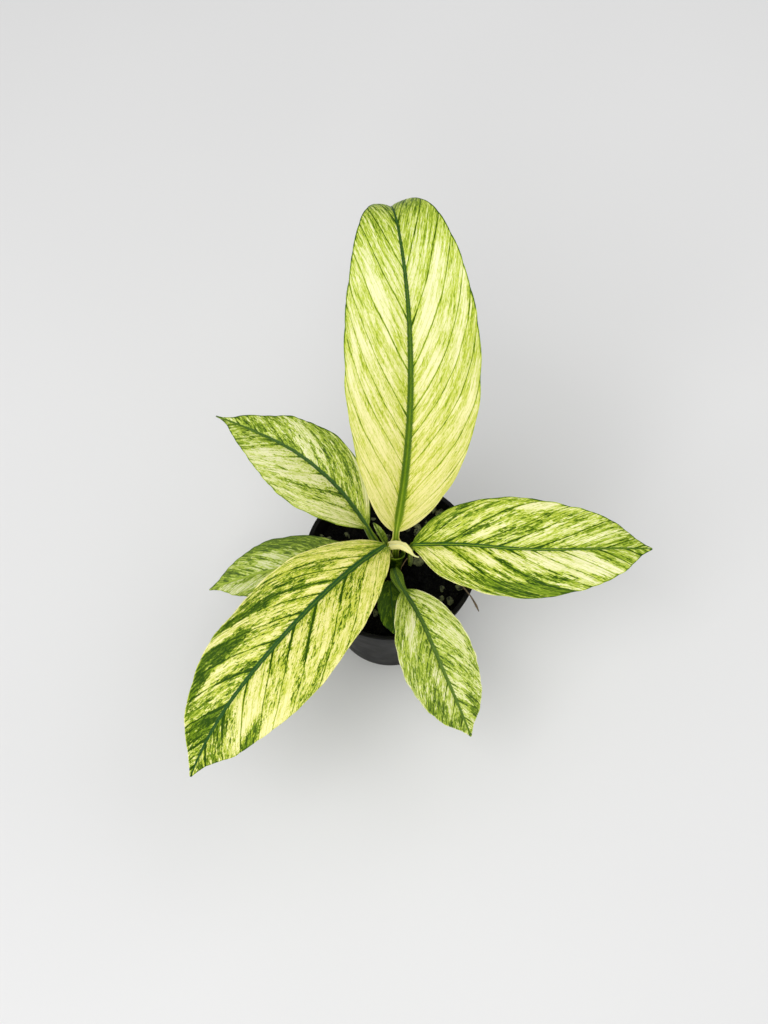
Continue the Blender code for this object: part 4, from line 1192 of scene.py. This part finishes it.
def mix_height(x, y):
    """Height of the mix: the model's low waves, rough at the scale of crumbs, hollow at the crown."""
    waves = np.sin(0.9 * x + 1.3) * np.sin(0.75 * y + 0.4) + 0.6 * np.sin(1.7 * x - 1.1 * y)
    rough = crumble(np.stack([x, y], axis=-1), *ROUGH_LENGTHS, ROUGH_SEED)
    hollow = np.exp(-(np.hypot(x - CROWN[0], y - CROWN[1]) / HOLLOW_RADIUS) ** 2)
    return MIX_LEVEL + MIX_ROUGHNESS * waves + ROUGH_HEIGHT * rough - HOLLOW_DEPTH * hollow


def mix_material(look):
    """Peat with composted bark, damp and loosely packed.

    Damp peat is nearly black and swallows light, with browner fibres of bark
    and a few wet glints, so single crumbs are told apart only by their edges.
    """
    made, tree, shader = new_material(
        "damp_peat_and_bark", IOR=1.33, Metallic=0.0, Specular_IOR_Level=0.2)
    point = add(tree, "TexCoord").outputs["Object"]
    # Crumbs about 2.4 mm across, and fibres about 1.1 mm
    crumb = add(tree, "TexVoronoi", {"Vector": point, "Scale": 420.0, "Randomness": 1.0})
    fibre = add(tree, "TexNoise", {"Vector": point, "Scale": 900.0, "Detail": 4.0, "Roughness": 0.65})
    blend = add(tree, "Math", {0: crumb.outputs["Color"], 1: fibre}, operation="MULTIPLY")
    tint = add(tree, "ValToRGB", {"Fac": blend}, [(0.0, look.peat), (0.4, look.peat), (0.8, look.bark)])
    feed(shader.inputs["Base Color"], tint)
    wet = add(tree, "MapRange", {
        "Value": fibre, "From Min": 0.3, "From Max": 0.7, "To Min": 0.55, "To Max": 0.95})
    feed(shader.inputs["Roughness"], wet)
    bump = add(tree, "Bump", {"Height": fibre, "Strength": 0.6, "Distance": 0.0003})
    feed(shader.inputs["Normal"], bump)
    return made


def pumice_material(look):
    """Pumice, crushed and weathered in the mix.

    Its open pores and a film of peat dull it to an olive grey, paler in some stains
    where watering has washed it.
    """
    made, tree, shader = new_material("weathered_pumice", IOR=1.5, Metallic=0.0, Roughness=0.9)
    point = add(tree, "TexCoord").outputs["Object"]
    # Stains about 2 mm across
    stain = add(tree, "TexNoise", {"Vector": point, "Scale": 480.0, "Detail": 4.0, "Roughness": 0.65})
    tint = add(tree, "ValToRGB", {"Fac": stain}, [
        (0.38, look.peat), (0.5, look.pumice), (0.72, linear(WASHED_PUMICE))])
    feed(shader.inputs["Base Color"], tint)
    # Pores about 0.5 mm apart
    pores = add(tree, "TexVoronoi", {"Vector": point, "Scale": 1800.0})
    bump = add(tree, "Bump", {"Height": pores, "Strength": 0.6, "Distance": 0.0002})
    feed(shader.inputs["Normal"], bump)
    return made


def icosahedron():
    """Corners and faces of an icosahedron of radius 1: three golden rectangles."""
    g = (1 + 5 ** 0.5) / 2
    corners = np.array([
        (-1, g, 0), (1, g, 0), (-1, -g, 0), (1, -g, 0), (0, -1, g), (0, 1, g),
        (0, -1, -g), (0, 1, -g), (g, 0, -1), (g, 0, 1), (-g, 0, -1), (-g, 0, 1)], dtype=float)
    faces = np.array([
        (0, 11, 5), (0, 5, 1), (0, 1, 7), (0, 7, 10), (0, 10, 11), (1, 5, 9), (5, 11, 4), (11, 10, 2),
        (10, 7, 6), (7, 1, 8), (3, 9, 4), (3, 4, 2), (3, 2, 6), (3, 6, 8), (3, 8, 9), (4, 9, 5),
        (2, 4, 11), (6, 2, 10), (8, 6, 7), (9, 8, 1)])
    return corners / np.hypot(1, g), faces


def turns(draw, count):
    """Seeded rotations as matrices, from unit quaternions drawn evenly on their sphere."""
    q = draw.normal(size=(count, 4))
    w, x, y, z = (q / np.linalg.norm(q, axis=1)[:, None]).T
    return np.stack([
        np.stack([1 - 2 * (y * y + z * z), 2 * (x * y - z * w), 2 * (x * z + y * w)], axis=-1),
        np.stack([2 * (x * y + z * w), 1 - 2 * (x * x + z * z), 2 * (y * z - x * w)], axis=-1),
        np.stack([2 * (x * z - y * w), 2 * (y * z + x * w), 1 - 2 * (x * x + y * y)], axis=-1)], axis=1)


def scatter_crumbs(look, peat):
    """Loose crumbs: icosahedra with their corners jittered, squeezed and turned, half sunk in the mix.

    A crumb's radius runs from small to large as their ratio to the power of a draw to the CRUMB_SPREAD.
    """
    draw = np.random.default_rng(CRUMB_SEED)
    count = look.crumbs
    corners, faces = icosahedron()
    small, large = look.crumb_small / MM, look.crumb_large / MM
    radius = small * (large / small) ** (draw.random(count) ** CRUMB_SPREAD)
    width, depth = draw.uniform(*CRUMB_WIDTH, count), draw.uniform(*CRUMB_DEPTH, count)
    squeeze = np.stack([np.ones(count), width, depth], axis=-1)
    jitter = draw.uniform(*CRUMB_JITTER, (count, len(corners), 1))
    body = corners[None] * jitter * (squeeze * radius[:, None])[:, None]
    body = np.einsum("nij,nkj->nki", turns(draw, count), body)
    limit = wall_radius(MIX_LEVEL) - WALL - MIX_GAP
    reach = (limit - radius) * np.sqrt(draw.random(count))
    turn = draw.uniform(0, 2 * np.pi, count)
    x, y = reach * np.cos(turn), reach * np.sin(turn)
    z = mix_height(x, y) + CRUMB_RISE * radius
    body += np.stack([x, y, z], axis=-1)[:, None]
    index = (faces[None] + len(corners) * np.arange(count)[:, None, None]).reshape(-1, 3)
    add_piece("mix_crumbs", body.reshape(-1, 3), np.zeros((0, 4), int), index, peat,
              crease=CRUMB_CREASE)


def set_lumps(stone):
    """Pumice lumps: balls cut by seeded planes, roughened with sine waves, flattened and set in the mix.

    A plane with normal n at depth h cuts the ball where h over the share of n in the way out is
    under 1. That share is at least LUMP_SLANT. A lump is flattened before it is turned, and by
    LUMP_SETTLED after it.
    """
    draw = np.random.default_rng(LUMP_SEED)
    tilt = np.linspace(0, np.pi, LUMP_RINGS)[1:-1]
    ball = turned(np.column_stack([np.sin(tilt), np.cos(tilt)]), LUMP_SIDES)
    squares, fans = skin(ball)
    points, all_squares, all_fans = [], [], []
    for number, (x, y, radius) in enumerate(lumps()):
        ways = draw.normal(size=(LUMP_WAVES, 3))
        rough = np.sin(LUMP_WAVE_RATE * ball @ ways.T + draw.uniform(0, LUMP_PHASE, LUMP_WAVES))
        rough = rough.sum(axis=-1, keepdims=True)
        planes = draw.normal(size=(LUMP_PLANES, 3))
        planes /= np.linalg.norm(planes, axis=1)[:, None]
        cut = draw.uniform(*LUMP_CUT, LUMP_PLANES) / np.maximum(ball @ planes.T, LUMP_SLANT)
        cut = np.minimum(cut.min(axis=-1, keepdims=True), LUMP_LIMIT)
        body = ball * radius * cut * (1 + LUMP_ROUGHNESS * rough)
        body = body * (1, draw.uniform(*LUMP_WIDTH), LUMP_HEIGHT)
        body = body @ turns(draw, 1)[0].T * (1, 1, LUMP_SETTLED)
        points.append(with_poles(body + (x, y, float(mix_height(x, y)) + LUMP_RISE * radius)))
        base = number * len(points[0])
        all_squares.append(squares + base)
        all_fans.append(fans + base)
    add_piece("pumice_lumps", np.vstack(points), np.vstack(all_squares), np.vstack(all_fans), stone,
              crease=LUMP_CREASE)


def fill_mix(look):
    """Potting mix: a plug with a rough top that closes round the stalks, crumbs, and pumice lumps."""
    step = look.step / MM
    edge_level = MIX_LEVEL - MIX_EDGE_DROP
    limit = wall_radius(edge_level) - WALL - MIX_GAP
    reach = np.linspace(0, limit, int(limit / step))[1:, None]
    sides = int(2 * np.pi * limit / (EDGE_SPACING * step))
    turn = np.linspace(0, 2 * np.pi, sides, endpoint=False)[None]
    x, y = reach * np.cos(turn), reach * np.sin(turn)
    drop = smooth((reach - limit + EDGE_REACH) / EDGE_REACH)
    z = mix_height(x, y) * (1 - drop) + edge_level * drop
    low = FLOOR + MIX_GAP
    base = turned([(wall_radius(low) - WALL - MIX_GAP, low), (MIDDLE_RING, low)], sides)
    peat = mix_material(look)
    add_shell("fine_potting_mix", np.concatenate([np.stack([x, y, z], axis=-1), base]), peat,
              ["potting_mix"], crease=MIX_CREASE)
    scatter_crumbs(look, peat)
    set_lumps(pumice_material(look))


def tube(points, radii):
    """Rings square to a line through points, smoothed three times by weights of 1/4, 1/2 and 1/4.

    The radius wavers by the share TUBE_GNARL, in ridges that wind round the line.
    """
    points, radii = np.array(points), np.array(radii)
    knots, share = np.linspace(0, 1, len(points)), np.linspace(0, 1, TUBE_STEPS)
    line = np.stack([np.interp(share, knots, points[:, k]) for k in range(3)], axis=-1)
    for _ in range(3):
        line[1:-1] = 0.25 * line[:-2] + 0.5 * line[1:-1] + 0.25 * line[2:]
    way = np.gradient(line, axis=0)
    way /= np.linalg.norm(way, axis=1)[:, None]
    side = np.cross(way, (0, 0, 1.0))
    side /= np.linalg.norm(side, axis=1)[:, None]
    above = np.cross(side, way)
    turn = np.linspace(0, 2 * np.pi, TUBE_SIDES, endpoint=False)[None, :, None]
    winding, beads = (rate * share[:, None, None] for rate in TUBE_WAVES)
    rough = 1 + TUBE_GNARL * np.sin(TUBE_RIDGES * turn + winding) * np.sin(beads)
    radius = np.interp(share, knots, radii)[:, None, None] * rough
    return line[:, None] + radius * (np.cos(turn) * side[:, None] + np.sin(turn) * above[:, None])


def bark_material(name, tint_of, creases):
    """Dry bark or root skin, grown, wrinkled as it lost water, with so many creases in a metre.

    The eye sees a dull, uneven brown with darker creases and no shine.
    """
    made, tree, shader = new_material(name, IOR=1.45, Metallic=0.0, Roughness=0.85)
    point = add(tree, "TexCoord").outputs["Object"]
    grain = add(tree, "TexNoise", {"Vector": point, "Scale": creases, "Detail": 5.0, "Roughness": 0.6})
    tint = add(tree, "ValToRGB", {"Fac": grain}, [
        (0.3, [0.35 * c for c in tint_of]), (0.55, tint_of), (0.75, [1.5 * c for c in tint_of])])
    feed(shader.inputs["Base Color"], tint)
    bump = add(tree, "Bump", {"Height": grain, "Strength": 0.5, "Distance": 0.0002})
    feed(shader.inputs["Normal"], bump)
    return made


def lay_trim(look):
    """Dry twig over the rim, one thin root on the mix, and root skin on the buried crown."""
    bark = bark_material("dry_twig_bark", tuple(look.bark), 900.0)
    root = bark_material("root_skin", tuple(look.root), 600.0)
    for name, points, radii, skin_look, slot, nodes in (
        ("fine_dry_twig", TWIG_LINE, TWIG_RADII, bark, "twig", ["dry_twig"]),
        ("thin_root", ROOT_LINE, ROOT_RADII, root, "root", []),
    ):
        add_shell(name, tube(points, radii), skin_look, nodes)
    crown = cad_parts["crown_and_roots"]
    crown.data.materials.clear()
    crown.data.materials.append(root)


def paper_material(look):
    """Backdrop paper, matte, with a faint unevenness that keeps it from looking painted."""
    made, tree, shader = new_material("matte_backdrop_paper", IOR=1.45, Metallic=0.0, Roughness=0.9)
    point = add(tree, "TexCoord").outputs["Object"]
    cloud = add(tree, "TexNoise", {"Vector": point, "Scale": 3.0, "Detail": 2.0})
    tint = add(tree, "ValToRGB", {"Fac": cloud}, [
        (0.3, [0.97 * c for c in look.floor]), (0.7, look.floor)])
    feed(shader.inputs["Base Color"], tint)
    return made


def set_stage(look):
    """Floor, soft lights and the camera, which looks down on the plant from the photograph's angle.

    The camera looks along (0, cos e, -sin e) for elevation e, and the rim's centre falls
    RIM_OFFSET right of and below the middle of the 768 by 1024 image.
    """
    scene = bpy.context.scene
    edge = turned([(FLOOR_RADIUS, 0.0)], FLOOR_SIDES)[0]
    disc = bpy.data.meshes.new("floor")
    disc.from_pydata(edge.tolist(), [], [list(range(FLOOR_SIDES))])
    disc.materials.append(paper_material(look))
    floor = bpy.data.objects.new("floor", disc)
    scene.collection.objects.link(floor)

    world = bpy.data.worlds.new("room")
    world.use_nodes = True
    light = world.node_tree.nodes["Background"].inputs
    light["Color"].default_value = (*linear(ROOM), 1.0)
    light["Strength"].default_value = look.sky
    scene.world = world
    for name, share, width, place in LAMPS:
        lamp = bpy.data.lights.new(name, "AREA")
        lamp.energy, lamp.size = share * look.key_power, width
        holder = bpy.data.objects.new(name, lamp)
        holder.location = place
        aim = Vector(LAMP_AIM) - Vector(place)
        holder.rotation_euler = aim.to_track_quat("-Z", "Y").to_euler()
        scene.collection.objects.link(holder)

    e = look.elevation
    ahead, up = np.array([0, np.cos(e), -np.sin(e)]), np.array([0, np.sin(e), np.cos(e)])
    focal = look.lens / SENSOR * IMAGE_HEIGHT
    right, down = RIM_OFFSET
    aim = ahead + np.array([right, 0, 0]) / focal - up * down / focal
    spot = np.array([0, 0, POT_HEIGHT * MM]) - look.distance * aim
    lens = bpy.data.cameras.new("camera")
    lens.lens, lens.sensor_width, lens.clip_start = look.lens, SENSOR, NEAR_CLIP
    camera = bpy.data.objects.new("camera", lens)
    camera.location = spot
    camera.rotation_euler = (np.pi / 2 - e, 0.0, 0.0)
    scene.collection.objects.link(camera)
    scene.camera = camera
    scene.view_settings.view_transform = "Standard"


class PEACELILY_OT_pot(bpy.types.Operator):
    """Lay a smooth moulded pot over the pot node"""
    bl_idname = "peace_lily.pot"
    bl_label = "Nursery pot"

    def execute(self, context):
        dress_pot(context.scene.lily_pot)
        return {"FINISHED"}


class PEACELILY_OT_mix(bpy.types.Operator):
    """Fill the pot with rough mix, crumbs and pumice lumps"""
    bl_idname = "peace_lily.mix"
    bl_label = "Potting mix"

    def execute(self, context):
        fill_mix(context.scene.lily_mix)
        return {"FINISHED"}


class PEACELILY_OT_leaves(bpy.types.Operator):
    """Lay a fine veined surface over every leaf, bract and the sheath"""
    bl_idname = "peace_lily.leaves"
    bl_label = "Leaves, bracts and sheath"

    def execute(self, context):
        grow_leaves(context.scene.lily_leaf)
        return {"FINISHED"}


class PEACELILY_OT_trim(bpy.types.Operator):
    """Lay the dry twig and the thin root, and give the crown its skin"""
    bl_idname = "peace_lily.trim"
    bl_label = "Twig, root and crown"

    def execute(self, context):
        lay_trim(context.scene.lily_trim)
        return {"FINISHED"}


class PEACELILY_OT_stage(bpy.types.Operator):
    """Set the floor, the lights and the camera"""
    bl_idname = "peace_lily.stage"
    bl_label = "Stage"

    def execute(self, context):
        set_stage(context.scene.lily_stage)
        return {"FINISHED"}


LOOKS = (
    ("lily_pot", PotLook), ("lily_mix", MixLook), ("lily_leaf", LeafLook),
    ("lily_trim", TrimLook), ("lily_stage", StageLook),
)
OPERATORS = (
    PEACELILY_OT_pot, PEACELILY_OT_mix, PEACELILY_OT_leaves, PEACELILY_OT_trim, PEACELILY_OT_stage,
)


class PEACELILY_PT_panel(bpy.types.Panel):
    """Every piece of the plant, with its sizes and colours"""
    bl_idname = "PEACELILY_PT_panel"
    bl_label = "Potted peace lily"
    bl_space_type = "VIEW_3D"
    bl_region_type = "UI"
    bl_category = "Peace lily"

    def draw(self, context):
        for (key, _), step in zip(LOOKS, OPERATORS):
            box = self.layout.box()
            box.operator(step.bl_idname)
            look = getattr(context.scene, key)
            for name in look.bl_rna.properties.keys():
                if name not in ("name", "rna_type"):
                    box.prop(look, name)


CLASSES = (*[group for _, group in LOOKS], *OPERATORS, PEACELILY_PT_panel)


def register():
    """Register every class, and give each scene its property groups."""
    for made in CLASSES:
        bpy.utils.register_class(made)
    for key, group in LOOKS:
        setattr(bpy.types.Scene, key, bpy.props.PointerProperty(type=group))


def unregister():
    """Undo register."""
    for key, _ in LOOKS:
        delattr(bpy.types.Scene, key)
    for made in reversed(CLASSES):
        bpy.utils.unregister_class(made)


def main():
    """Build every piece in order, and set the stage."""
    register()
    bpy.ops.peace_lily.pot()
    bpy.ops.peace_lily.mix()
    bpy.ops.peace_lily.leaves()
    bpy.ops.peace_lily.trim()
    bpy.ops.peace_lily.stage()


if __name__ == "__main__":
    main()
